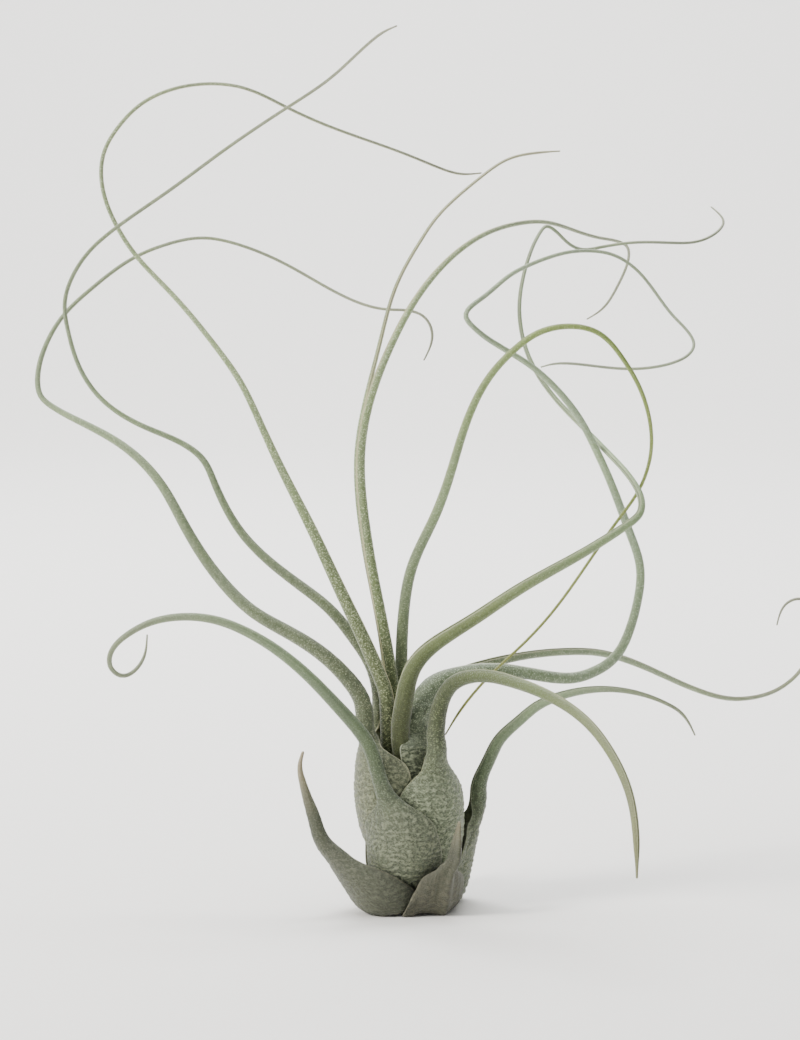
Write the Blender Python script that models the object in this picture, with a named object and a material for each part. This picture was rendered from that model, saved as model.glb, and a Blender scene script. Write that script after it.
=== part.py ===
"""A bulbous air plant: a short woody stem and the fifteen leaves that grow from it.

Every leaf is one solid: a spoon-shaped sheath that helps to wrap the hollow bulb, a neck where it
rolls up, and a long rush-like blade with a channel along its inner side. The leaves are built from
the innermost outwards, and each sheath is pressed outwards until it clears the ones inside it.
Lengths are in millimetres until the meshes are made. +Z is up, -Y is the front, and the origin is
the middle of the cut foot of the stem, on the surface that the plant stands on.
"""

import math
from dataclasses import dataclass

import bmesh
import bpy
import numpy as np
from mathutils import Vector
from mathutils.bvhtree import BVHTree

MM = 0.001

# Driving dimensions
STEM_HEIGHT = 15.0
STEM_RADIUS = 5.4
STEM_LOBES = 5
LOBE_DEPTH = 0.04
BELLY_HEIGHT = 16.0
MOUTH_HEIGHT = 48.0
BULB_REACH = 60.0
SHEATH_WALL = 1.1
MARGIN_WALL = 0.65
SHEATH_GAP = 0.55
CHANNEL_HALF_OPENING = 26.0
CHANNEL_DEPTH = 0.95
SHALLOWEST_DEPTH = 1.88
THINNEST_BACK = 0.75
NECK_WALL = 0.8
FOOT_BULGE = 0.6
SHOULDER_BULGE = 0.9
NECK_FLARE = 1.3
NECK_SPREAD = 10.0
OPEN_WRAP = 80.0
FOOT_SHARE = 0.25
HANGING_SHARE = 0.3
BELLY_SHARE = 0.35
SHOULDER_SHARE = 0.75
LEFT_BULB = 0.95
ROLLED_UP = 0.97
NARROWED_BY = 0.6
MARGIN_HANG = 0.75
STEM_CLEARANCE = 5.5
LIFTING_REACH = 5.0
PROBE_TURN = 4.0
PROBE_RISE = 0.6
EVENING = 1.15

# Mesh fineness
SHEATH_ROW = 11
BLADE_ROW = 7
THIN_ROW = 5
THIN_BLADE = 0.75
SHEATH_RINGS = 13
LONGEST_STEP = 10.0
LARGEST_BEND = 17.0
FINE_STEP = 0.25

# Materials: colour, roughness
SHEATH_GREEN = ((0.40, 0.44, 0.36), 0.85)
OLD_SHEATH = ((0.42, 0.41, 0.34), 0.9)
STEM_BROWN = ((0.21, 0.14, 0.09), 0.9)


@dataclass(frozen=True)
class Leaf:
    """One leaf. A young one has no sheath: it rises as a channelled rod out of the middle."""

    name: str
    blade: tuple  # points along the middle of the blade, to the tip
    girth: tuple  # (share of the blade's length, radius) stops
    sheath: tuple = ()  # points along the sheath's outer keel, from the stem to the neck
    spread: tuple = (0, 0, 0)  # half widths in degrees round the bulb: at foot, belly, shoulder
    bulge: float = 0.0  # how roundly the sheath bulges across, as a radius
    roll: float = 0.6  # share of the sheath's length at which it starts to roll up
    pressed: float = 0.9  # share of the sheath's length that lies against the bulb
    facing: float = 0.0  # azimuth that a young leaf's back faces
    twist: tuple = ((0, 0), (1, 0))  # (share of the blade's length, degrees it has turned) stops
    old: bool = False


# From the innermost leaf to the outermost.
LEAVES = (
    Leaf(
        "leaf_centre_arch",
        blade=(
            (-0.3, 0.1, 16.8), (-0.6, 0.2, 20), (-1.9, 0.8, 30), (-3.1, 1.4, 40), (-3.7, 1.7, 47),
            (-5.2, 1.9, 58), (-8.2, 2.5, 74), (-10.5, 3.5, 89), (-11.2, 4, 102), (-9.8, 4, 112),
            (-4, 5, 128), (0.7, 7, 136.7), (7, 10, 144.8), (16.5, 17, 152), (24, 24, 154.5),
            (31.5, 32, 155), (39, 42, 153), (46, 52, 151), (51, 60, 150), (53.5, 64, 148.5),
            (54, 67, 146), (51.5, 72, 138.5), (48, 75, 133), (44.5, 77, 130.5),
        ),
        girth=((0, 1.2), (0.14, 1.5), (0.3, 1.15), (0.48, 0.85), (0.65, 0.55), (0.8, 0.42), (1, 0.32)),
        facing=20,
    ),
    Leaf(
        "leaf_right_ring",
        blade=(
            (2.6, 1.8, 16.0), (2.6, 2.3, 19.5), (1.5, 4.2, 29), (-0.4, 4.9, 38), (-1.6, 5, 46),
            (-1.9, 4.8, 52), (-1.6, 3, 64), (1, -1, 79), (5, -4, 88), (8.5, -7, 97.5), (12.5, -11, 111),
            (18, -14, 122), (22.5, -15, 127), (28, -15, 131), (35, -14, 132.5), (41.5, -12, 131),
            (47, -9, 125.5), (51, -7, 119), (54, -4, 109.5), (54, 0, 101), (51.7, 2, 94.3),
            (47.5, 3, 88), (40.5, 0, 78.5), (31.5, 0, 66), (25.5, 0, 59.5), (19, -1, 53.5),
            (14.6, 0, 48.5), (10.8, 2, 43), (8.2, 2.6, 38.5),
        ),
        girth=(
            (0, 1.2), (0.12, 1.5), (0.2, 1.3), (0.35, 1.0), (0.53, 0.62), (0.66, 0.44), (0.8, 0.35),
            (1, 0.32),
        ),
        facing=-30, twist=((0, 0), (0.2, 0), (0.32, 35), (1, 35)),
    ),
    Leaf(
        "leaf_centre_back",
        blade=(
            (-1.0, 3.3, 15.6), (-1.2, 3.8, 19), (-2.8, 6.6, 29), (-3.9, 7.6, 38), (-4.7, 7.3, 46),
            (-5.6, 6.8, 56), (-7.2, 6.8, 66), (-10, 7.5, 80), (-11.7, 8, 92), (-12, 8.5, 103),
            (-10.7, 9, 112), (-6.8, 9.5, 128), (-3, 11, 141), (2.5, 13, 151), (6, 15, 156),
            (11, 17, 161), (16.5, 20, 165.5), (24, 25, 170), (29, 27, 171), (35, 30, 171.5),
        ),
        girth=((0, 1.1), (0.16, 1.25), (0.4, 0.85), (0.6, 0.52), (0.8, 0.38), (1, 0.32)),
        facing=110,
    ),
    Leaf(
        "leaf_left_hook",
        blade=(
            (-3.1, -1.1, 15.4), (-3.4, -1.3, 19), (-4.6, -2.5, 29), (-5, -2.7, 38), (-5.1, -2.5, 44),
            (-5.6, -2.3, 49), (-7, -2, 53), (-11, -1, 62), (-16.8, 1, 74), (-22.5, 3, 86),
            (-28.5, 6, 97.5), (-34, 8.5, 109), (-39, 11, 119), (-44, 13, 126), (-55.5, 16, 139.5),
            (-63, 17, 147.5), (-67.5, 17, 154.5), (-70.5, 16, 163.5), (-70, 16, 171), (-66.5, 16, 177),
            (-61.5, 17, 182), (-54, 18, 185.5), (-46.5, 20, 186.7), (-39, 21, 186), (-28.5, 25, 181.5),
            (-19.5, 28, 177.5), (0, 35, 170.5), (7, 38, 167.7), (12, 40, 166.3), (17, 42, 166.5),
        ),
        girth=(
            (0, 1.3), (0.1, 1.75), (0.16, 1.6), (0.27, 1.18), (0.36, 0.85), (0.45, 0.65), (0.6, 0.5),
            (0.8, 0.38), (1, 0.32),
        ),
        facing=184,
    ),
    Leaf(
        "leaf_right_elbow",
        blade=(
            (0.4, -3.4, 15.4), (0.4, -3.9, 19), (-0.4, -6.1, 28), (-1.9, -6.7, 36), (-2.1, -6.6, 42),
            (-1.4, -7, 47), (-0.5, -7.2, 52), (1.2, -8, 56.3), (4.3, -8, 59.8), (8.5, -9, 63),
            (14.8, -9, 67), (23.5, -10, 73), (32, -10, 78), (38, -9.5, 81.3), (43.5, -9, 84.6),
            (47, -8.5, 86.8), (49.8, -8, 88.7), (51.5, -7, 90.4), (52, -5.5, 92.6), (50.5, -2, 96.7),
            (46, 5, 102), (39.5, 12, 108.5), (33.5, 16, 114.7), (28.5, 18, 122), (26, 22, 129.5),
            (25.5, 24, 134.5), (26, 27, 139.7), (28.5, 34, 148), (31.2, 40, 152.8), (32.7, 42, 153.9),
            (34.5, 43, 153), (38, 45, 149.8), (41, 46, 148.4), (45, 47, 148.7), (54, 47, 150),
            (63, 48, 149.9), (70, 52, 150.3), (74.5, 55, 152.4), (76.3, 58, 155), (73.6, 61, 158.4),
        ),
        girth=(
            (0, 1.6), (0.11, 2.15), (0.17, 1.85), (0.22, 1.5), (0.37, 1.02), (0.45, 0.72), (0.6, 0.55),
            (0.8, 0.4), (1, 0.32),
        ),
        facing=-25, twist=((0, 0), (0.1, 0), (0.2, 45), (1, 45)),
    ),
    Leaf(
        "leaf_left_tall",
        sheath=(
            (-3.6, 3.6, 10.5), (-5.6, 5.6, 12.5), (-7.0, 6.9, 18), (-8.0, 6.8, 27), (-8.7, 5.0, 36),
            (-7.3, 3.4, 44),
        ),
        blade=(
            (-7.7, 3, 50.5), (-9.3, 3.5, 55), (-13, 5, 60.5), (-18, 6, 66.5), (-25.7, 8, 72.5),
            (-33, 9, 78.2), (-38.3, 10, 83.6), (-41.8, 10, 89), (-45, 10, 96), (-47.5, 10, 101),
            (-51, 10, 104), (-60.5, 8, 108.6), (-66.5, 7, 112), (-71, 6, 116), (-74.3, 5, 121),
            (-77, 1, 130.5), (-77.5, -1, 137.5), (-75.7, -2, 143), (-72, -2.5, 148.5),
            (-65.7, -3, 154), (-54, -5, 162), (-42, -9, 170.5), (-27, -14, 180.3), (-18, -20, 186),
            (-9.5, -30, 193), (-6, -34, 195.5), (-3, -38, 196.7),
        ),
        girth=((0, 1.5), (0.1, 1.3), (0.28, 0.87), (0.34, 0.7), (0.42, 0.57), (0.65, 0.43), (1, 0.32)),
        spread=(50, 64, 40), bulge=6.5, twist=((0, 0), (0.1, 70), (1, 70)),
    ),
    Leaf(
        "leaf_right_loop",
        sheath=(
            (4.8, -1.2, 9.5), (7.0, -2.2, 11.3), (8.8, -3.6, 17), (9.0, -4.4, 26), (7.7, -4.8, 34),
            (5.8, -3.3, 40), (3.6, -0.9, 46.2),
        ),
        blade=(
            (6.0, 1.0, 49.6), (9.8, 2.5, 51.3), (14.9, 4, 52.4), (19.5, 5, 52.8),
            (23.7, 6, 52.5), (29.5, 7, 51.5), (34, 8, 50.7), (38.8, 9, 50.7), (42, 10, 51.6),
            (45.3, 10, 53.4), (47.8, 10, 55.8), (50.7, 10, 61.6), (52.6, 10, 69), (53, 10, 76),
            (50.6, 10, 84), (45.5, 8, 97), (42.2, 6, 104), (38.5, 3, 110.8), (33.4, 0, 117.4),
            (26.4, -4, 123.7), (18, -8, 129), (14.2, -10, 132), (12.4, -10, 134.3), (16, -7, 138.5),
            (21.7, -3, 143), (27.7, 2, 146), (34.6, 5, 148.2), (40.6, 8, 148.7), (45.5, 9, 148),
            (52, 10, 144), (59.8, 7, 134), (63, 5, 130.5), (64.2, 3, 127.5), (63, 1.5, 125.6),
            (60, 0, 124), (50, 1, 122.3), (39.5, 5, 123), (32.6, 8, 123), (30, 10, 122.2),
        ),
        girth=(
            (0, 2.6), (0.03, 2.1), (0.1, 1.45), (0.24, 1.02), (0.33, 0.96), (0.42, 0.82), (0.51, 0.66),
            (0.66, 0.48), (0.76, 0.38), (1, 0.32),
        ),
        spread=(54, 70, 63), bulge=7.5, roll=0.72, pressed=0.8, twist=((0, 0), (0.1, 45), (1, 45)),
    ),
    Leaf(
        "leaf_right_trailing",
        sheath=(
            (2.6, 4.4, 8.2), (4.7, 7.8, 9.6), (6.3, 10.5, 15), (6.6, 10.7, 24), (5.5, 8.6, 33),
            (3.9, 6.1, 41),
        ),
        blade=(
            (4.4, 6.5, 45.5), (6.9, 8, 49), (11.4, 11, 51.3), (19.5, 15, 53.3), (27.7, 20, 54.2),
            (37.4, 27, 54), (45.5, 34, 52.6), (56.5, 43, 48), (70.5, 54, 40.5), (77, 58, 38),
            (83, 62, 37), (88, 64, 37.5), (93, 66, 39.3), (97.4, 66, 43.3), (100, 64, 50.2),
            (99.3, 61, 58.5), (96.2, 58, 62.5), (93, 57, 61.7), (90.2, 55, 56.5),
        ),
        girth=((0, 1.8), (0.1, 1.3), (0.2, 1.0), (0.35, 0.87), (0.5, 0.72), (0.7, 0.54), (1, 0.32)),
        spread=(50, 60, 42), bulge=7.6,
    ),
    Leaf(
        "leaf_left_arch",
        sheath=(
            (-4.1, -3.2, 7.6), (-6.0, -4.8, 9.2), (-8.2, -6.6, 13.5), (-10.3, -8.2, 20.5),
            (-11.1, -8.4, 28), (-10.9, -7.0, 36), (-10.3, -5.0, 43),
        ),
        blade=(
            (-10.9, -4.3, 47.3), (-13.8, -4, 52), (-19.7, -3, 57.7), (-28.4, -1, 63), (-35.4, 0, 67),
            (-41.2, 2, 72), (-47.2, 4, 79.4), (-51.8, 5, 87), (-56.5, 7, 95), (-61.8, 9, 101),
            (-68.4, 12, 105.6), (-76, 15, 109.3), (-82.6, 18, 112.5), (-85.5, 19, 115),
            (-86.3, 20, 119), (-85.2, 22, 125), (-80.6, 25, 133.5), (-74.4, 27, 139.5),
            (-64, 30, 147), (-57, 31, 149.8), (-48.5, 32, 151.3), (-41, 32, 150), (-28.8, 32, 145),
            (-13.7, 28, 137), (-5, 25, 134.8), (0.2, 24, 134.5), (3.5, 23, 133), (5.2, 22, 129.5),
            (3.3, 20, 123.3),
        ),
        girth=(
            (0, 2.1), (0.06, 1.75), (0.15, 1.45), (0.3, 1.12), (0.385, 0.9), (0.46, 0.68), (0.55, 0.52),
            (0.7, 0.4), (1, 0.32),
        ),
        spread=(48, 60, 54), bulge=7.8, roll=0.68,
    ),
    Leaf(
        "leaf_front_droop",
        sheath=(
            (3.9, -3.5, 5.9), (6.7, -6.1, 6.6), (8.8, -8.3, 10.5), (9.6, -9.6, 17.5), (9.2, -10.6, 25),
            (7.4, -11.4, 33), (5.8, -11.0, 40),
        ),
        blade=(
            (6.1, -11, 44.3), (7, -11.3, 48.3), (9.2, -12.5, 52.2), (13, -15.2, 54.5),
            (17.4, -19, 55.3), (21.7, -23.5, 55), (29.9, -33, 53.2), (37, -42.5, 49.7), (42, -52, 44.5),
            (45.4, -60, 37.7), (46.6, -68, 28), (46.5, -71, 21.5),
        ),
        girth=(
            (0, 2.15), (0.1, 1.8), (0.2, 1.5), (0.35, 1.3), (0.5, 1.12), (0.75, 0.95), (0.92, 0.75),
            (1, 0.4),
        ),
        spread=(48, 58, 50), bulge=8.2, roll=0.58,
    ),
    Leaf(
        "leaf_front_curl",
        sheath=(
            (-0.9, -5.3, 4.5), (-2.0, -9.8, 5.4), (-2.6, -13.6, 9), (-2.6, -15.4, 14.5),
            (-3.2, -15.5, 20), (-4.8, -14.7, 25.5), (-6.8, -13.2, 31),
        ),
        blade=(
            (-7.9, -12.7, 35), (-9.3, -12.6, 38.7), (-11.8, -12.9, 42.5), (-16, -14, 47.5),
            (-22, -17, 54.4), (-30.5, -20, 62), (-36, -22, 65.6), (-43, -24, 68.6), (-50, -25, 69.4),
            (-56.5, -26, 68.4), (-62, -26.5, 65.6), (-65.6, -26, 61.6), (-65.7, -25, 58.1),
            (-63.5, -24, 56.2), (-60.8, -22, 57), (-58.7, -20, 60.2), (-58.2, -19, 64.5),
        ),
        girth=((0, 1.75), (0.1, 1.6), (0.25, 1.35), (0.45, 1.1), (0.65, 0.85), (0.8, 0.62), (1, 0.32)),
        spread=(42, 42, 33), bulge=8.8, roll=0.56,
    ),
    Leaf(
        "leaf_right_low",
        sheath=(
            (6.3, 1.6, 1.6), (10.2, 2.6, -0.7), (13.2, 3.4, 4.2), (14.9, 3.8, 12), (16.2, 3.6, 19),
            (15.8, 2.8, 26),
        ),
        blade=(
            (18.2, 1.4, 33), (20.1, 0, 37.2), (21.9, -1, 39.6), (24.8, -2, 42.4), (28.6, -3, 45.8),
            (32.2, -4, 47.8), (36, -4, 49), (40.3, -4, 49.8), (45, -4, 50), (53.8, -3, 48.3),
            (58.5, -1.5, 46.2), (61.8, 0, 43.9), (63.7, 1, 41.4), (65.2, 2, 38.4),
        ),
        girth=(
            (0, 1.9), (0.07, 1.55), (0.15, 1.45), (0.25, 1.3), (0.4, 1.12), (0.55, 0.86), (0.66, 0.68),
            (0.8, 0.47), (1, 0.32),
        ),
        spread=(26, 42, 46), bulge=8.0, roll=0.4,
    ),
    Leaf(
        "leaf_back_old",
        sheath=(
            (-1.6, 6.2, 1.6), (-2.6, 10.4, -0.3), (-3.6, 14.0, 4.2), (-4.2, 16.0, 12), (-4.8, 16.2, 19),
            (-5.4, 16.4, 25),
        ),
        blade=((-6.0, 17.0, 29), (-6.9, 18.4, 33), (-8.4, 19.8, 37)),
        girth=((0, 1.4), (1, 0.32)),
        spread=(26, 38, 28), bulge=8.8, old=True,
    ),
    Leaf(
        "leaf_left_old",
        sheath=(
            (-1.8, -5.9, 2.4), (-3.8, -10.2, 1.6), (-7.2, -13.9, 0.1), (-11.8, -15.2, 4.8),
            (-16.4, -13.6, 10.2), (-19.8, -11.2, 15.6), (-21.4, -9.6, 20.6),
        ),
        blade=((-22.8, -8.4, 24.6), (-24.2, -7.5, 29), (-24.9, -6.9, 33), (-24.2, -6.4, 36)),
        girth=((0, 1.6), (0.5, 0.95), (1, 0.32)),
        spread=(24, 40, 26), bulge=8.0, roll=0.4, pressed=0.7, old=True,
    ),
    Leaf(
        "leaf_right_old",
        sheath=(
            (4.0, -5.3, 1.6), (6.0, -9.2, -0.6), (7.3, -12.8, 0.8), (8.2, -15.0, 5.4),
            (9.1, -15.9, 10.2), (10.0, -15.6, 14.5),
        ),
        blade=((10.3, -15.3, 17), (10.7, -14.8, 19.3), (11.0, -14.2, 21.5)),
        girth=((0, 1.4), (1, 0.32)),
        spread=(12, 36, 20), bulge=8.0, old=True,
    ),
)


def natural_spline(points):
    """Returns a fine polyline through the points, along the natural cubic spline."""
    points = np.array(points, float)
    knots = np.concatenate([[0], np.cumsum(np.linalg.norm(np.diff(points, axis=0), axis=1))])
    spans = np.diff(knots)[:, None]
    slopes = np.diff(points, axis=0) / spans
    system = np.eye(len(points))
    rises = np.zeros_like(points)
    for i in range(1, len(points) - 1):
        system[i, i - 1 : i + 2] = [spans[i - 1, 0], 2 * (spans[i - 1, 0] + spans[i, 0]), spans[i, 0]]
        rises[i] = 6 * (slopes[i] - slopes[i - 1])
    curvatures = np.linalg.solve(system, rises)
    along = np.arange(0, knots[-1], FINE_STEP)
    k = np.clip(np.searchsorted(knots, along, side="right") - 1, 0, len(spans) - 1)
    h, a = spans[k], (along - knots[k])[:, None]
    b = h - a
    curve = (
        curvatures[k] * b**3 / (6 * h)
        + curvatures[k + 1] * a**3 / (6 * h)
        + (points[k] / h - curvatures[k] * h / 6) * b
        + (points[k + 1] / h - curvatures[k + 1] * h / 6) * a
    )
    return np.vstack([curve, points[-1]])


def smooth(x):
    """Eases from 0 to 1 as x goes from 0 to 1."""
    x = min(max(x, 0.0), 1.0)
    return x * x * (3 - 2 * x)


def through(x, stops):
    """Eases from one (place, value) stop to the next, in order."""
    for (x0, v0), (x1, v1) in zip(stops, stops[1:]):
        if x <= x1:
            return v0 + (v1 - v0) * smooth((x - x0) / (x1 - x0))
    return stops[-1][1]


def unit(v):
    return v / np.linalg.norm(v)


@dataclass
class Station:
    """One place along a leaf: the route's point there, and the size of the cross-section."""

    place: np.ndarray
    back: np.ndarray
    side: np.ndarray
    share: float  # 0 where the sheath starts, 1 at the neck and beyond
    radius: float
    spread: float = 0.0
    bulge: float = 0.0
    roll: float = 0.0


def frames(curve, turned, facing):
    """The direction that the leaf's back faces, all along its route."""
    tangents = np.gradient(curve, axis=0)
    tangents /= np.linalg.norm(tangents, axis=1)[:, None]
    around = np.array([-math.sin(facing), math.cos(facing), 0])
    backs = []
    for i, t in enumerate(tangents):
        free = i > turned and backs
        backs.append(unit(backs[-1] - t * (backs[-1] @ t)) if free else unit(np.cross(around, t)))
    return tangents, np.array(backs)


def stations(leaf):
    """Cross-sections along a leaf, closer together where it bends."""
    curve = natural_spline(leaf.sheath + leaf.blade)
    steps = np.linalg.norm(np.diff(curve, axis=0), axis=1)
    length = np.concatenate([[0], np.cumsum(steps)])
    if leaf.sheath:
        neck = int(np.argmin(np.linalg.norm(curve - np.array(leaf.sheath[-1]), axis=1)))
        belly = leaf.sheath[len(leaf.sheath) // 2]
        facing = math.atan2(belly[1], belly[0])
    else:
        neck, facing = 0, math.radians(leaf.facing)
    tangents, backs = frames(curve, neck, facing)
    turn = np.degrees(np.linalg.norm(np.diff(tangents, axis=0), axis=1))
    effort = np.concatenate([[0], np.cumsum(steps / LONGEST_STEP + turn / LARGEST_BEND)])
    rings = max(3, round(effort[-1] - effort[neck]))
    order = np.arange(len(curve))
    blade_marks = np.interp(np.linspace(effort[neck], effort[-1], rings + 1), effort, order)
    sheath_marks = np.interp(np.linspace(0, length[neck], SHEATH_RINGS), length, order)[:-1]
    marks = np.concatenate([sheath_marks, blade_marks]) if leaf.sheath else blade_marks
    made = []
    for i in marks.round().astype(int):
        side = np.cross(tangents[i], backs[i])
        if i < neck:
            share = length[i] / length[neck]
            foot, belly, shoulder = leaf.spread
            widths = ((0, foot), (BELLY_SHARE, belly), (SHOULDER_SHARE, shoulder), (1, NECK_SPREAD))
            spread = through(share, widths)
            wide, neck_radius, roll = leaf.bulge, leaf.girth[0][1], leaf.roll
            bulge = through(share, ((0, wide * FOOT_BULGE), (roll / 2, wide), (1, wide * SHOULDER_BULGE)))
            narrowed = roll + (1 - roll) * NARROWED_BY
            stops = ((0, bulge), (roll, bulge), (narrowed, neck_radius * NECK_FLARE), (1, neck_radius))
            radius = through(share, stops)
            made.append(Station(curve[i], backs[i], side, share, radius, math.radians(spread), bulge, roll))
        else:
            along = (length[i] - length[neck]) / (length[-1] - length[neck])
            radius = float(np.interp(along, *zip(*leaf.girth)))
            turned = math.radians(through(along, leaf.twist))
            back = backs[i] * math.cos(turned) + side * math.sin(turned)
            made.append(Station(curve[i], back, np.cross(tangents[i], back), 1.0, radius))
    return made


def blade_rows(at):
    """The rounded back of a blade, and the floor of the channel along its inner side."""
    count = BLADE_ROW if at.radius > THIN_BLADE else THIN_ROW
    half = math.radians(180 - CHANNEL_HALF_OPENING)
    angles = np.linspace(-half, half, count)[:, None]
    outer = at.place + at.radius * (np.cos(angles) * at.back + np.sin(angles) * at.side)
    body = min(max(THINNEST_BACK, at.radius * CHANNEL_DEPTH), at.radius * SHALLOWEST_DEPTH)
    return outer, (at.place + at.back * (at.radius - body))[None, :]


def outward(point):
    """The direction in which sheaths are pressed: level beside the stem, from the belly elsewhere."""
    reach = math.hypot(point[0], point[1])
    height = point[2]
    if height < BELLY_HEIGHT:
        height += (BELLY_HEIGHT - height) * smooth((reach - STEM_CLEARANCE) / LIFTING_REACH)
    arm = point - np.array([0, 0, height])
    return height, arm / np.linalg.norm(arm)


def sheath_rows(at):
    """The outer and the inner side of a sheath: a patch of the bulb that rolls up towards the neck."""
    half_rolled = (at.roll + 1) / 2
    on_its_own = smooth((at.share - at.roll) / (LEFT_BULB - at.roll))
    closing = smooth((at.share - half_rolled) / (ROLLED_UP - half_rolled))
    keel_reach = math.hypot(at.place[0], at.place[1])
    keel_angle = math.atan2(at.place[1], at.place[0])
    offset = keel_reach - at.bulge
    back_level = at.back @ np.array([math.cos(keel_angle), math.sin(keel_angle), 0])
    grown = smooth(at.share / FOOT_SHARE)
    hang = max(0.0, BELLY_HEIGHT - at.place[2]) * MARGIN_HANG * smooth(at.share / HANGING_SHARE)
    middle = at.place - at.back * at.radius * (1 - closing)
    wrap = math.radians(OPEN_WRAP + (180 - CHANNEL_HALF_OPENING - OPEN_WRAP) * closing)
    outer, inner = [], []
    for t in np.linspace(-1, 1, SHEATH_ROW):
        turn = at.spread * t
        reach = offset * math.cos(turn)
        reach += math.sqrt(max(at.bulge**2 - (offset * math.sin(turn)) ** 2, 0.1))
        height = at.place[2] + hang * (1 - math.cos(turn))
        angle = keel_angle + turn
        on_bulb = np.array([reach * math.cos(angle), reach * math.sin(angle), height])
        arc_out = at.back * math.cos(wrap * t) + at.side * math.sin(wrap * t)
        point = on_bulb * (1 - on_its_own) + (middle + arc_out * at.radius) * on_its_own
        at_foot = np.array([back_level * math.cos(angle), back_level * math.sin(angle), at.back[2]])
        out = unit(at_foot) * (1 - grown) + outward(point)[1] * grown
        out = unit(out * (1 - on_its_own) + arc_out * on_its_own)
        thick = SHEATH_WALL + (MARGIN_WALL - SHEATH_WALL) * t * t
        thick += (at.radius * NECK_WALL - thick) * smooth((at.share - SHOULDER_SHARE) / (1 - SHOULDER_SHARE))
        outer.append(point)
        inner.append(point - out * thick)
    return np.array(outer), np.array(inner)


def evened(amounts):
    """The amounts, with their edges blended into the ones around them and none made less."""
    padded = np.pad(amounts, 2, mode="edge")
    rows, columns = amounts.shape
    near = [padded[i : i + rows, j : j + columns] for i in range(5) for j in range(5)]
    return np.maximum(amounts, np.mean(near, axis=0) * EVENING)


class Bulb:
    """What has been built so far, as seen from outside along rays towards its middle."""

    def __init__(self):
        self.points = []
        self.faces = []
        self.tree = None

    def add(self, points, faces):
        start = len(self.points)
        self.points += [Vector(p) for p in points]
        self.faces += [[start + i for i in face] for face in faces]
        self.tree = BVHTree.FromPolygons(self.points, self.faces)

    def surface(self, height, direction):
        """How far out the bulb reaches in this direction from its axis."""
        axis = Vector((0, 0, height))
        hit = self.tree.ray_cast(axis + Vector(direction) * BULB_REACH, -Vector(direction), BULB_REACH)
        return 0.0 if hit[0] is None else (hit[0] - axis).length

    def shortfall(self, point):
        """How much further out a point of a sheath's inner side must go, and in which direction."""
        height, direction = outward(point)
        reach = np.linalg.norm(point - np.array([0, 0, height]))
        found = 0.0
        for turn in (-PROBE_TURN, 0, PROBE_TURN):
            c, s = math.cos(math.radians(turn)), math.sin(math.radians(turn))
            for lift in (-PROBE_RISE, 0, PROBE_RISE):
                x, y, z = direction * reach
                probe = np.array([x * c - y * s, x * s + y * c, z + lift])
                found = max(found, self.surface(height, unit(probe)))
        return (max(0.0, found + SHEATH_GAP - reach) if found else 0.0), direction

    def press_out(self, sheath):
        """Moves a sheath, given as its sections' outer and inner rows, outwards past what it wraps."""
        for evenly in (True, True, False):
            found = [[self.shortfall(point) for point in inner] for _, inner in sheath]
            amounts = np.array([[amount for amount, _ in row] for row in found])
            amounts = evened(amounts) if evenly else amounts
            for (outer, inner), row, moves in zip(sheath, found, amounts):
                for k, (_, direction) in enumerate(row):
                    outer[k] += direction * moves[k]
                    inner[k] += direction * moves[k]


def zip_rows(first, second):
    """Triangles between two rows of point numbers that may differ in length."""
    faces, i, j = [], 0, 0
    while i < len(first) - 1 or j < len(second) - 1:
        ahead = (i + 1) * max(len(second) - 1, 1) - (j + 1) * max(len(first) - 1, 1)
        if j == len(second) - 1 or (i < len(first) - 1 and ahead <= 0):
            faces.append((first[i], first[i + 1], second[j]))
            i += 1
        else:
            faces.append((first[i], second[j + 1], second[j]))
            j += 1
    return faces


def leaf_shell(leaf, bulb):
    """Points and triangles of one leaf, its sheath pressed out of what is already in the bulb."""
    places = stations(leaf)
    sections = [sheath_rows(at) if at.share < 1 else blade_rows(at) for at in places]
    pressed = [rows for rows, at in zip(sections, places) if at.share < min(leaf.pressed, 1)]
    if pressed:
        bulb.press_out(pressed)
    points, faces, before, in_bulb = [], [], None, 0
    for outer, inner in sections:
        outer[:, 2] = np.maximum(outer[:, 2], 0.0)
        inner[:, 2] = np.maximum(inner[:, 2], MARGIN_WALL)
        start = len(points)
        points += list(outer) + list(inner)
        out_row = list(range(start, start + len(outer)))
        in_row = list(range(start + len(outer), len(points)))
        if before is None:
            faces += [face[::-1] for face in zip_rows(out_row, in_row)]
        else:
            faces += zip_rows(before[0], out_row)
            faces += [face[::-1] for face in zip_rows(before[1], in_row)]
            faces += zip_rows([before[1][0], before[0][0]], [in_row[0], out_row[0]])
            faces += zip_rows([before[0][-1], before[1][-1]], [out_row[-1], in_row[-1]])
        before = (out_row, in_row)
        if outer[0][2] < MOUTH_HEIGHT:
            in_bulb = len(faces)
    faces += zip_rows(before[0], before[1])
    bulb.add(points, faces[:in_bulb])
    return points, faces


def material(name, finish):
    colour, roughness = finish
    made = bpy.data.materials.new(name)
    made.use_nodes = True
    shader = made.node_tree.nodes["Principled BSDF"]
    shader.inputs["Base Color"].default_value = (*colour, 1)
    shader.inputs["Roughness"].default_value = roughness
    return made


def add_object(name, points, faces, finish, collection):
    """A mesh object from points in millimetres, with its faces turned outwards."""
    mesh = bpy.data.meshes.new(name)
    mesh.from_pydata([Vector(p) * MM for p in points], [], faces)
    edit = bmesh.new()
    edit.from_mesh(mesh)
    bmesh.ops.recalc_face_normals(edit, faces=edit.faces)
    edit.to_mesh(mesh)
    edit.free()
    mesh.materials.append(finish)
    mesh.shade_smooth()
    made = bpy.data.objects.new(name, mesh)
    collection.objects.link(made)
    return made


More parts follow.
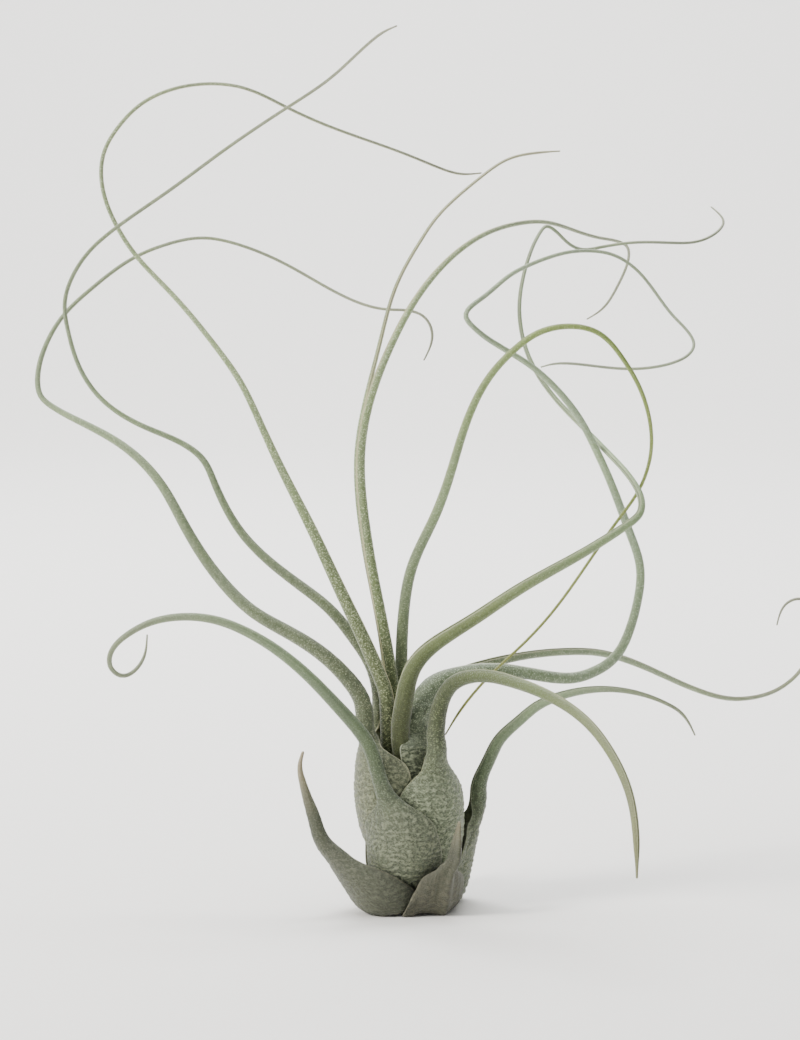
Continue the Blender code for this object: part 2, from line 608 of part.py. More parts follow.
def stem_profile():
    """The stem's outline, from its flat foot to its rounded top, as (radius, height)."""
    return (
        (STEM_RADIUS * 0.93, 0.0),
        (STEM_RADIUS, 0.6),
        (STEM_RADIUS, 2.0),
        (STEM_RADIUS * 0.92, 5.0),
        (STEM_RADIUS * 0.8, 8.0),
        (STEM_RADIUS * 0.6, 10.5),
        (STEM_RADIUS * 0.42, 12.6),
        (STEM_RADIUS * 0.2, STEM_HEIGHT - 0.4),
    )


def stem_shell(sides=14):
    """Points and triangles of the stem, a slightly lobed turned form."""
    points, faces = [], []
    profile = stem_profile()
    for ring, (radius, height) in enumerate(profile):
        for k in range(sides):
            angle = 2 * math.pi * k / sides
            lobe = 1 + LOBE_DEPTH * math.sin(STEM_LOBES * angle + ring)
            points.append((radius * lobe * math.cos(angle), radius * lobe * math.sin(angle), height))
    for ring in range(len(profile) - 1):
        low = [ring * sides + k % sides for k in range(sides + 1)]
        high = [k + sides for k in low]
        faces += zip_rows(low, high)
    foot, top = len(points), len(points) + 1
    points += [(0, 0, 0), (0, 0, STEM_HEIGHT)]
    last = (len(profile) - 1) * sides
    for k in range(sides):
        after = (k + 1) % sides
        faces.append((foot, k, after))
        faces.append((top, last + after, last + k))
    return points, faces


def main():
    for old in list(bpy.data.objects):
        bpy.data.objects.remove(old)
    plant = bpy.data.collections.new("air_plant")
    bpy.context.scene.collection.children.link(plant)
    green = material("leaf_scurf", SHEATH_GREEN)
    drab = material("old_leaf_scurf", OLD_SHEATH)
    bark = material("stem_bark", STEM_BROWN)
    bulb = Bulb()
    points, faces = stem_shell()
    bulb.add(points, faces)
    add_object("stem", points, faces, bark, plant)
    for leaf in LEAVES:
        points, faces = leaf_shell(leaf, bulb)
        add_object(leaf.name, points, faces, drab if leaf.old else green, plant)


main()
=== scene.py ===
"""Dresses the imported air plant: a bulb of scurfy sheaths that run on into long curling blades.

Every leaf is built again as a finer piece that keeps the form of its solid: the same route, the same
sheath pressed out over the ones inside it, and on top of that thin margins, the channel along the
blade, and a relief of scurf. Lengths are in millimetres until the meshes are made.
"""

import logging
import math
from dataclasses import dataclass
from enum import Enum, auto

import bpy
import numpy as np
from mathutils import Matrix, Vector
from mathutils.bvhtree import BVHTree


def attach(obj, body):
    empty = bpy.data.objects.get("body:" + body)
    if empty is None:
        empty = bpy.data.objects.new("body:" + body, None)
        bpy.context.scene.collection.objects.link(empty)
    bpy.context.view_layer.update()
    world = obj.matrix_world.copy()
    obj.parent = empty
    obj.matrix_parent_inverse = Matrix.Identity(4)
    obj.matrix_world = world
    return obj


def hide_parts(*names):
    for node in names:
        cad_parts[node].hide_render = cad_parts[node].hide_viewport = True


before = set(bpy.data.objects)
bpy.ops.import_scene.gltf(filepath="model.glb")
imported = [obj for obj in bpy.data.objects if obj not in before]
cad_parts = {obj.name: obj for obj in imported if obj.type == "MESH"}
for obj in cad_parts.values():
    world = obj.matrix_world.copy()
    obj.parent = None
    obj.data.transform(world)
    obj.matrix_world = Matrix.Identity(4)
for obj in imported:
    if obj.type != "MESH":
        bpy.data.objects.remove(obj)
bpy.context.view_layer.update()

LOG = logging.getLogger("air_plant")
MM = 0.001

# Heights, and distances from the bulb's axis
BELLY_HEIGHT = 16.0
MOUTH_HEIGHT = 48.0
STEM_CLEARANCE = 5.5
LIFTING_REACH = 5.0

# Places along a sheath, as shares of its length
FOOT_SHARE = 0.25
HANGING_SHARE = 0.3
BELLY_SHARE = 0.35
NECK_SHARE = 0.75
JOINING_SHARE = 0.84
LEFT_BULB = 0.95
ROLLED_UP = 0.97

# The sheath's form
NECK_SPREAD = 10.0
FOOT_BULGE = 0.6
SHOULDER_BULGE = 0.9
NARROWED_BY = 0.6
NECK_FLARE = 1.3
NECK_WALL = 0.8
MARGIN_HANG = 0.75

# The finishes: how many cells lie in a millimetre along, across and through a leaf
PATCHES = (0.11, 0.3, 0.3)
VEINS = (0.035, 1.5, 1.5)
SCALES = (3.1, 2.6, 2.6)
FELT = (3.4, 2.2, 2.2)
FLAKES = (0.5, 1.4, 1.4)

Socket = bpy.types.NodeSocket
Stops = tuple[tuple[float, float], ...]
Place = tuple[float, float, float]
Points = tuple[Place, ...]
Colour = tuple[float, float, float]
Value = Socket | Colour | float
Pair = tuple[np.ndarray, np.ndarray]


class Tone(Enum):
    """The finishes that a leaf can have."""

    GREY_GREEN = auto()
    BLUE_GREEN = auto()
    SPECKLED = auto()
    SMOOTH = auto()
    OLIVE = auto()
    DEEP_GREEN = auto()
    FRESH = auto()
    DRAB = auto()
    BROWN = auto()


def ease(x: np.ndarray | float) -> np.ndarray:
    """Goes smoothly from 0 to 1 as x goes from 0 to 1."""
    x = np.clip(x, 0.0, 1.0)
    return x * x * (3 - 2 * x)


def through(x: np.ndarray, stops: Stops) -> np.ndarray:
    """Eases from one stop to the next.

    Args:
        x: places along the stops.
        stops: (place, value) pairs in order.

    Returns:
        The value at each place.
    """
    value = np.full_like(np.asarray(x, float), stops[0][1])
    for (x0, v0), (x1, v1) in zip(stops, stops[1:]):
        value += (v1 - v0) * ease((x - x0) / (x1 - x0))
    return value


def unit(v: np.ndarray) -> np.ndarray:
    """The vectors along the last axis, made one long."""
    return v / np.linalg.norm(v, axis=-1, keepdims=True)


def natural_spline(points: Points, step: float) -> np.ndarray:
    """Samples the natural cubic spline through some points.

    Args:
        points: the points that the line passes through.
        step: the distance between samples.

    Returns:
        The samples, ending with the last point.
    """
    points = np.array(points, float)
    knots = np.concatenate([[0], np.cumsum(np.linalg.norm(np.diff(points, axis=0), axis=1))])
    spans = np.diff(knots)[:, None]
    slopes = np.diff(points, axis=0) / spans
    system = np.eye(len(points))
    rises = np.zeros_like(points)
    for i in range(1, len(points) - 1):
        system[i, i - 1 : i + 2] = [spans[i - 1, 0], 2 * (spans[i - 1, 0] + spans[i, 0]), spans[i, 0]]
        rises[i] = 6 * (slopes[i] - slopes[i - 1])
    curvatures = np.linalg.solve(system, rises)
    along = np.arange(0, knots[-1], step)
    k = np.clip(np.searchsorted(knots, along, side="right") - 1, 0, len(spans) - 1)
    h, a = spans[k], (along - knots[k])[:, None]
    b = h - a
    curve = (
        curvatures[k] * b**3 / (6 * h)
        + curvatures[k + 1] * a**3 / (6 * h)
        + (points[k] / h - curvatures[k] * h / 6) * b
        + (points[k + 1] / h - curvatures[k + 1] * h / 6) * a
    )
    return np.vstack([curve, points[-1]])


def resampled(grid: np.ndarray, rows: np.ndarray, columns: np.ndarray) -> np.ndarray:
    """Reads a coarse grid of vectors smoothly at other places.

    Args:
        grid: the vectors, with shape (rows, columns, 3).
        rows: places along the first axis, counted in rows.
        columns: places along the second axis, counted in columns.

    Returns:
        The vectors at each row and column, with shape (len(rows), len(columns), 3).
    """

    def along_first(values: np.ndarray, places: np.ndarray) -> np.ndarray:
        """Reads the values along the first axis, by Catmull-Rom interpolation.

        Args:
            values: the values.
            places: where to read them.

        Returns:
            The values there.
        """
        last = len(values) - 1
        k = np.clip(np.floor(places).astype(int), 0, last - 1)
        f = (places - k).reshape(-1, *[1] * (values.ndim - 1))
        before, here = values[np.maximum(k - 1, 0)], values[k]
        after, beyond = values[k + 1], values[np.minimum(k + 2, last)]
        cubic = f * (3 * (here - after) + beyond - before)
        return here + 0.5 * f * (after - before + f * (2 * before - 5 * here + 4 * after - beyond + cubic))

    across = along_first(grid, rows).swapaxes(0, 1)
    return along_first(across, columns).swapaxes(0, 1)


@dataclass(frozen=True)
class Grain:
    """One kind of unevenness: how long its cells are along, across and through, and where they start."""

    size: Place
    start: float = 0.0


# The leaves' relief
BENDS = Grain((3.0, 3.4, 4.0))
DASHES = Grain((0.6, 1.0, 0.95))
SHORT_DASHES = Grain((0.42, 0.55, 0.55), 31.7)
DRIFTS = Grain((5.0, 3.4, 3.4), -41.9)
SPECKS = Grain((0.9, 0.7, 0.7), 11.3)
SMALL_SPECKS = Grain((0.5, 0.45, 0.45), -7.9)
SWELLS = Grain((7.0, 6.0, 6.0), 3.1)
FURROWS = Grain((9.0, 1.1, 1.1), -17.7)
SHORT_FURROWS = Grain((4.0, 0.6, 0.6), 23.1)

# The bark's relief
CHIPS = Grain((1.1, 2.2, 2.2))
SMALL_CHIPS = Grain((0.5, 0.9, 0.9))
UNEVEN_ROWS = Grain((4.0, 4.0, 4.0))


class Noise:
    """Smooth gradient noise on a lattice, the same in every run."""

    period = 256  # cells after which the lattice repeats
    gain = 1.7  # what brings the noise to about -1 to 1

    def __init__(self, seed: int) -> None:
        """Draws the lattice's gradients.

        Args:
            seed: the number that the draws start from.
        """
        draw = np.random.default_rng(seed)
        self.order = draw.permutation(self.period)
        self.gradients = unit(draw.normal(size=(self.period, 3)))

    def corner(self, cell: np.ndarray, offset: np.ndarray) -> np.ndarray:
        """The pull of one corner of each point's lattice cell.

        Args:
            cell: the corners' places on the lattice.
            offset: the points' places as seen from the corners.

        Returns:
            The pull on each point.
        """
        key = 0
        for axis in range(3):
            key = self.order[(key + cell[:, axis].astype(int)) % self.period]
        return np.einsum("ij,ij->i", self.gradients[key], offset)

    def at(self, place: np.ndarray, grain: Grain) -> np.ndarray:
        """Reads the noise.

        Args:
            place: points, with any shape that ends in 3.
            grain: the kind of unevenness.

        Returns:
            Values of about -1 to 1, in the shape of the points without its last axis.
        """
        flat = (place + grain.start).reshape(-1, 3) / np.array(grain.size)
        cell = np.floor(flat)
        inside = flat - cell
        blend = inside**3 * (inside * (inside * 6 - 15) + 10)
        total = np.zeros(len(flat))
        for corner in np.ndindex(2, 2, 2):
            at = np.array(corner)
            weight = np.prod(np.where(at, blend, 1 - blend), axis=1)
            total += weight * self.corner(cell + at, inside - at)
        return (total * self.gain).reshape(place.shape[:-1])


@dataclass
class Nodes:
    """Builds one material's node tree, a node at a time."""

    name: str

    def __post_init__(self) -> None:
        """Starts the material with its shader."""
        self.material = bpy.data.materials.new(self.name)
        self.material.use_nodes = True
        self.tree = self.material.node_tree
        self.shader = self.tree.nodes["Principled BSDF"]

    def put(self, socket: Socket, value: Value) -> None:
        """Sets a socket to a number or a colour, or links it to another node's output.

        Args:
            socket: the socket.
            value: the number, the colour or the other node's output.
        """
        if isinstance(value, Socket):
            self.tree.links.new(value, socket)
        else:
            socket.default_value = (*value, 1) if socket.type == "RGBA" else value

    def shade(self, **settings: Value) -> None:
        """Sets the shader's sockets, named with underscores for spaces."""
        for name, value in settings.items():
            self.put(self.shader.inputs[name.replace("_", " ").title().replace("Ior", "IOR")], value)

    def node(
        self, kind: str, inputs: dict[str | int, Value], output: str | int = 0, **settings: str
    ) -> Socket:
        """Adds a node.

        Args:
            kind: its type, without the word that they all start with.
            inputs: its inputs' values, by their names or numbers.
            output: the name or number of the output that is wanted.
            settings: what else is set on it.

        Returns:
            The output.
        """
        node = self.tree.nodes.new("ShaderNode" + kind)
        for name, value in settings.items():
            setattr(node, name, value)
        for name, value in inputs.items():
            self.put(node.inputs[name], value)
        return node.outputs[output]

    def attribute(self, name: str, output: str = "Fac") -> Socket:
        """Reads one of the mesh's own values."""
        return self.node("Attribute", {}, output, attribute_name=name)

    def stretched(self, place: Socket, cells: Place) -> Socket:
        """The place, counted in cells along each axis."""
        return self.node("VectorMath", {0: place, 1: cells}, operation="MULTIPLY")

    def noise(self, place: Socket, cells: Place, detail: float) -> Socket:
        """Soft noise with so many cells in a millimetre along each axis."""
        inputs = {"Vector": self.stretched(place, cells), "Scale": 1.0, "Detail": detail}
        return self.node("TexNoise", inputs, "Fac")

    def scales(self, place: Socket, cells: Place) -> Socket:
        """Distance from the middles of small cells, for scales that lie side by side."""
        return self.node("TexVoronoi", {"Vector": self.stretched(place, cells), "Scale": 1.0}, "Distance")

    def spread(self, value: Socket, low: float, high: float, to: tuple[float, float] = (0, 1)) -> Socket:
        """Eases the value from the range between low and high to another range."""
        inputs = {"Value": value, "From Min": low, "From Max": high, "To Min": to[0], "To Max": to[1]}
        return self.node("MapRange", inputs, "Result", interpolation_type="SMOOTHSTEP")

    def times(self, first: Value, second: Value) -> Socket:
        """The product of two values."""
        return self.node("Math", {0: first, 1: second}, operation="MULTIPLY")

    def rest(self, value: Value) -> Socket:
        """What the value leaves of one."""
        return self.node("Math", {0: 1.0, 1: value}, operation="SUBTRACT")

    def total(self, first: Value, *others: Value) -> Socket:
        """Adds values up.

        Args:
            first: the first value.
            others: the ones to add to it.

        Returns:
            Their sum.
        """
        for other in others:
            first = self.node("Math", {0: first, 1: other}, operation="ADD")
        return first

    def mix(self, amount: Value, first: Value, second: Value, blend: str = "MIX") -> Socket:
        """Mixes two colours, the amount being the second one's share."""
        colour_mix = {0: amount, 6: first, 7: second}
        return self.node("Mix", colour_mix, 2, data_type="RGBA", blend_type=blend)

    def ramp(self, value: Socket, places: tuple[float, ...], colours: tuple[Colour, ...]) -> Socket:
        """Runs through colours along a value.

        Args:
            value: the value.
            places: where along it each colour lies.
            colours: the colours.

        Returns:
            The colour at the value.
        """
        node = self.tree.nodes.new("ShaderNodeValToRGB")
        self.put(node.inputs["Fac"], value)
        elements = node.color_ramp.elements
        while len(elements) < len(places):
            elements.new(1.0)
        for element, place, colour in zip(elements, places, colours):
            element.position = place
            element.color = (*colour, 1)
        return node.outputs["Color"]

    def bump(self, height: Socket, distance: float) -> None:
        """Lets a height tilt the surface; the distance is in metres."""
        normal = self.node("Bump", {"Distance": distance, "Height": height}, "Normal")
        self.put(self.shader.inputs["Normal"], normal)


GROWN_STOPS = (0.24, 0.37, 0.6, 1.0)  # the belly of the sheath, the neck, the middle of the blade, the tip
YOUNG_STOPS = (0.41, 0.5, 0.66, 1.0)  # the foot of the blade, its lower part, its middle, the tip


@dataclass(frozen=True)
class LeafFinish:
    """A leaf's skin and the pale scurf on it, from the belly of its sheath to the tip of its blade."""

    skin: tuple[Colour, Colour, Colour, Colour]  # at the stops
    scurf: tuple[Colour, Colour, Colour, Colour]
    margin: Colour
    stops: tuple[float, float, float, float] = GROWN_STOPS
    speckle: float = 0.5  # how clearly the scales stand out on the blade
    blade_scurf: float = 0.3  # how clearly the scurf's patches show on the blade
    edging: float = 0.35  # how clearly the pale margin shows
    sheen: float = 0.25
    patch: Colour = (0.62, 0.66, 0.5)  # what the skin's soft patches are tinged with
    vein: Colour = (0.3, 0.34, 0.2)
    sheath_speckle: float = 0.9  # how clearly the scales stand out on the sheath, at least
    sheath_scurf: float = 0.72  # how clearly the ridges of scurf show on the sheath
    felting: float = 0.46  # how thick the felt between the ridges is
    channel_scurf_and_painted_light: float = 0.4  # how much paler the channel is painted: scurf, and painted light that lifts the channel's shadow
    roughness: tuple[float, float] = (0.52, 0.86)  # of the bare skin, and of the scurf
    bump: float = 0.00012

    def material(self, name: str) -> bpy.types.Material:
        """Makes the material.

        Args:
            name: the material's name.

        Returns:
            A material that reads the leaf mesh's own places and relief.
        """
        made = Nodes(name)
        place = made.attribute("leaf_place", "Vector")
        age = made.attribute("leaf_age")
        scales = made.spread(made.scales(place, SCALES), 0.62, 0.1)
        felt = made.noise(place, FELT, 3)
        scurf_cover_and_channel_light = self.scurf_cover_and_channel_light(made, age, scales, felt)
        scurf = made.ramp(age, self.stops, self.scurf)
        colour = made.mix(made.spread(scurf_cover_and_channel_light, 0, 1.05), self.bare(made, place, age), scurf)
        on_margin = made.spread(made.attribute("leaf_edge"), 0.5, 1.0, (0, self.edging))
        colour = made.mix(on_margin, colour, self.margin)
        made.shade(base_color=colour, roughness=made.spread(scurf_cover_and_channel_light, 0, 1, self.roughness))
        made.shade(sheen_weight=self.sheen, sheen_roughness=0.5, ior=1.42)
        made.bump(made.total(made.times(scales, 0.6), made.times(felt, 1.6)), self.bump)
        return made.material

    def bare(self, made: Nodes, place: Socket, age: Socket) -> Socket:
        """Colours the bare skin, with soft patches and fine veins.

        Args:
            made: the material's nodes.
            place: places on the leaf laid out flat.
            age: how far along the leaf they are.

        Returns:
            The colour.
        """
        skin = made.ramp(age, self.stops, self.skin)
        patches = made.spread(made.noise(place, PATCHES, 3), 0.35, 0.68)
        veins = made.spread(made.noise(place, VEINS, 2), 0.4, 0.66)
        skin = made.mix(made.times(patches, 0.35), skin, self.patch, "OVERLAY")
        return made.mix(made.times(veins, 0.3), skin, self.vein, "MULTIPLY")

    def scurf_cover_and_channel_light(self, made: Nodes, age: Socket, scales: Socket, felt: Socket) -> Socket:
        """Lays the scurf: ridges and felt on the sheath, scales on the blade, and in the channel a pale
        coat of scurf and painted light that lifts its shadow.

        Args:
            made: the material's nodes.
            age: how far along the leaf.
            scales: the small scales.
            felt: the fine felt.

        Returns:
            How thickly the skin is covered, with the channel's painted light counted in.
        """
        fine = made.spread(felt, 0.34, 0.66)
        on_blade = made.spread(age, 0.18, 0.32)
        strongest = max(self.speckle, self.sheath_speckle)
        speckle = made.spread(age, 0.34, 0.44, (strongest, self.speckle))
        dots = made.times(made.times(scales, fine), speckle)
        dots = made.times(dots, made.spread(age, 0.2, 0.3, (0.3, 1)))
        ridged = made.spread(made.attribute("scurf_relief"), -0.25, 1.15)
        ridged = made.times(ridged, made.spread(age, 0.2, 0.36, (self.sheath_scurf, self.blade_scurf)))
        felted = made.times(made.times(fine, self.felting), made.rest(on_blade))
        # the channel's inside is painted paler: scurf, and painted light that lifts the shadow in the
        # channel
        channel_scurf_and_painted_light = made.times(made.attribute("leaf_channel"), self.channel_scurf_and_painted_light)
        return made.total(ridged, dots, felted, channel_scurf_and_painted_light)


@dataclass(frozen=True)
class BarkFinish:
    """The stem's dark flaky bark."""

    dark: Colour = (0.03, 0.018, 0.011)
    brown: Colour = (0.16, 0.095, 0.055)
    pale: Colour = (0.34, 0.27, 0.2)
    bump: float = 0.0003

    def material(self, name: str) -> bpy.types.Material:
        """Makes the material.

        Args:
            name: the material's name.

        Returns:
            A material that reads the stem mesh's own places and relief.
        """
        made = Nodes(name)
        flakes = made.noise(made.attribute("leaf_place", "Vector"), FLAKES, 5)
        colour = made.mix(made.spread(flakes, 0.35, 0.65), self.dark, self.brown)
        raised = made.spread(made.attribute("scurf_relief"), 0.6, 0.95, (0, 0.7))
        colour = made.mix(raised, colour, self.pale)
        made.shade(base_color=colour, roughness=made.spread(flakes, 0.3, 0.7, (0.75, 0.95)))
        made.bump(flakes, self.bump)
        return made.material


@dataclass(frozen=True)
class PaperFinish:
    """The plain pale paper of the floor."""

    colour: Colour = (0.86, 0.85, 0.83)

    def material(self, name: str) -> bpy.types.Material:
        """Makes the material.

        Args:
            name: the material's name.

        Returns:
            A plain matt material.
        """
        made = Nodes(name)
        made.shade(base_color=self.colour, roughness=0.9)
        return made.material


FINISHES = {
    Tone.GREY_GREEN: LeafFinish(
        skin=((0.073, 0.085, 0.05), (0.065, 0.084, 0.041), (0.19, 0.245, 0.135), (0.23, 0.235, 0.17)),
        scurf=((0.28, 0.3, 0.192), (0.34, 0.365, 0.224), (0.43, 0.51, 0.33), (0.36, 0.365, 0.275)),
        margin=(0.48, 0.47, 0.31), edging=0.6,
    ),
    Tone.BLUE_GREEN: LeafFinish(
        skin=((0.061, 0.075, 0.046), (0.06, 0.085, 0.042), (0.185, 0.245, 0.14), (0.22, 0.235, 0.16)),
        scurf=((0.225, 0.247, 0.162), (0.2, 0.245, 0.138), (0.41, 0.495, 0.325), (0.36, 0.365, 0.265)),
        margin=(0.4, 0.42, 0.29), edging=0.3, speckle=0.4, blade_scurf=0.2,
    ),
    # The pale foot of these young blades is partly painted light: its colours are raised to lift the shade
    # that the sheaths around it cast.
    Tone.SPECKLED: LeafFinish(
        skin=((0.06, 0.078, 0.027), (0.11, 0.145, 0.055), (0.23, 0.295, 0.145), (0.23, 0.235, 0.17)),
        scurf=((0.44, 0.48, 0.27), (0.54, 0.62, 0.37), (0.56, 0.65, 0.42), (0.36, 0.365, 0.275)),
        margin=(0.6, 0.56, 0.34), stops=YOUNG_STOPS, edging=0.85, speckle=1.1, blade_scurf=0.3,
    ),
    Tone.SMOOTH: LeafFinish(
        skin=((0.044, 0.055, 0.015), (0.14, 0.18, 0.062), (0.23, 0.32, 0.18), (0.23, 0.245, 0.18)),
        scurf=((0.165, 0.188, 0.072), (0.36, 0.43, 0.225), (0.48, 0.6, 0.41), (0.36, 0.365, 0.275)),
        margin=(0.52, 0.54, 0.35), stops=YOUNG_STOPS, edging=0.5, speckle=0.5, blade_scurf=0.2,
    ),
    Tone.OLIVE: LeafFinish(
        skin=((0.068, 0.085, 0.049), (0.03, 0.04, 0.011), (0.115, 0.15, 0.055), (0.19, 0.19, 0.095)),
        scurf=((0.3, 0.341, 0.222), (0.26, 0.3, 0.144), (0.24, 0.29, 0.14), (0.27, 0.285, 0.155)),
        margin=(0.4, 0.41, 0.23), edging=0.45, speckle=0.35, blade_scurf=0.2,
    ),
    # The blade's very pale middle is partly its own scurf and partly a painted highlight, raised for a
    # stretch of blade that stands in strong light.
    Tone.DEEP_GREEN: LeafFinish(
        skin=((0.03, 0.043, 0.019), (0.07, 0.098, 0.048), (0.27, 0.35, 0.22), (0.22, 0.24, 0.175)),
        scurf=((0.25, 0.278, 0.18), (0.42, 0.49, 0.34), (0.6, 0.71, 0.52), (0.36, 0.375, 0.285)),
        margin=(0.56, 0.6, 0.43), edging=0.7,
    ),
    Tone.FRESH: LeafFinish(
        skin=((0.06, 0.08, 0.032), (0.17, 0.225, 0.115), (0.2, 0.27, 0.06), (0.22, 0.22, 0.065)),
        scurf=((0.29, 0.33, 0.19), (0.43, 0.52, 0.34), (0.37, 0.46, 0.17), (0.33, 0.33, 0.14)),
        margin=(0.45, 0.48, 0.27), stops=(0.41, 0.54, 0.7, 1.0), edging=0.4, speckle=0.7,
    ),
    Tone.DRAB: LeafFinish(
        skin=((0.058, 0.064, 0.043), (0.06, 0.065, 0.042), (0.13, 0.128, 0.084), (0.36, 0.3, 0.2)),
        scurf=((0.13, 0.137, 0.096), (0.146, 0.153, 0.106), (0.33, 0.315, 0.215), (0.58, 0.51, 0.36)),
        margin=(0.28, 0.26, 0.17), edging=0.15, sheen=0.15,
    ),
    Tone.BROWN: LeafFinish(
        skin=((0.057, 0.059, 0.04), (0.055, 0.058, 0.038), (0.095, 0.094, 0.06), (0.15, 0.13, 0.08)),
        scurf=((0.11, 0.107, 0.074), (0.108, 0.114, 0.077), (0.17, 0.168, 0.112), (0.24, 0.215, 0.145)),
        margin=(0.23, 0.21, 0.145), edging=0.15, sheen=0.15,
    ),
}


@dataclass(frozen=True)
class Leaf:
    """One leaf's sizes. A young one has no sheath: it rises as a channelled rod out of the middle."""

    name: str
    blade: Points  # points along the middle of the blade, to the tip
    girth: Stops  # (share of the blade's length, radius) stops
    sheath: Points = ()  # points along the sheath's outer keel, from the stem to the neck
    spread: tuple[float, float, float] = (0, 0, 0)  # half widths in degrees: foot, belly, shoulder
    bulge: float = 0.0  # how roundly the sheath bulges across, as a radius
    roll: float = 0.6  # share of the sheath's length at which it starts to roll up
    pressed: float = 0.9  # share of the sheath's length that lies against the bulb
    facing: float = 0.0  # azimuth that a young leaf's back faces
    twist: Stops = ((0, 0), (1, 0))  # (share of the blade's length, degrees it has turned) stops
    old: bool = False
    tone: Tone = Tone.GREY_GREEN
    ridges: float = 0.15  # height of the sheath's scurf ridges
    specks: float = 0.03  # height of the blade's scales
    wrinkles: float = 0.0  # depth of the furrows along an old leaf
    keel: float = 0.0  # height of the rib down the middle of the back


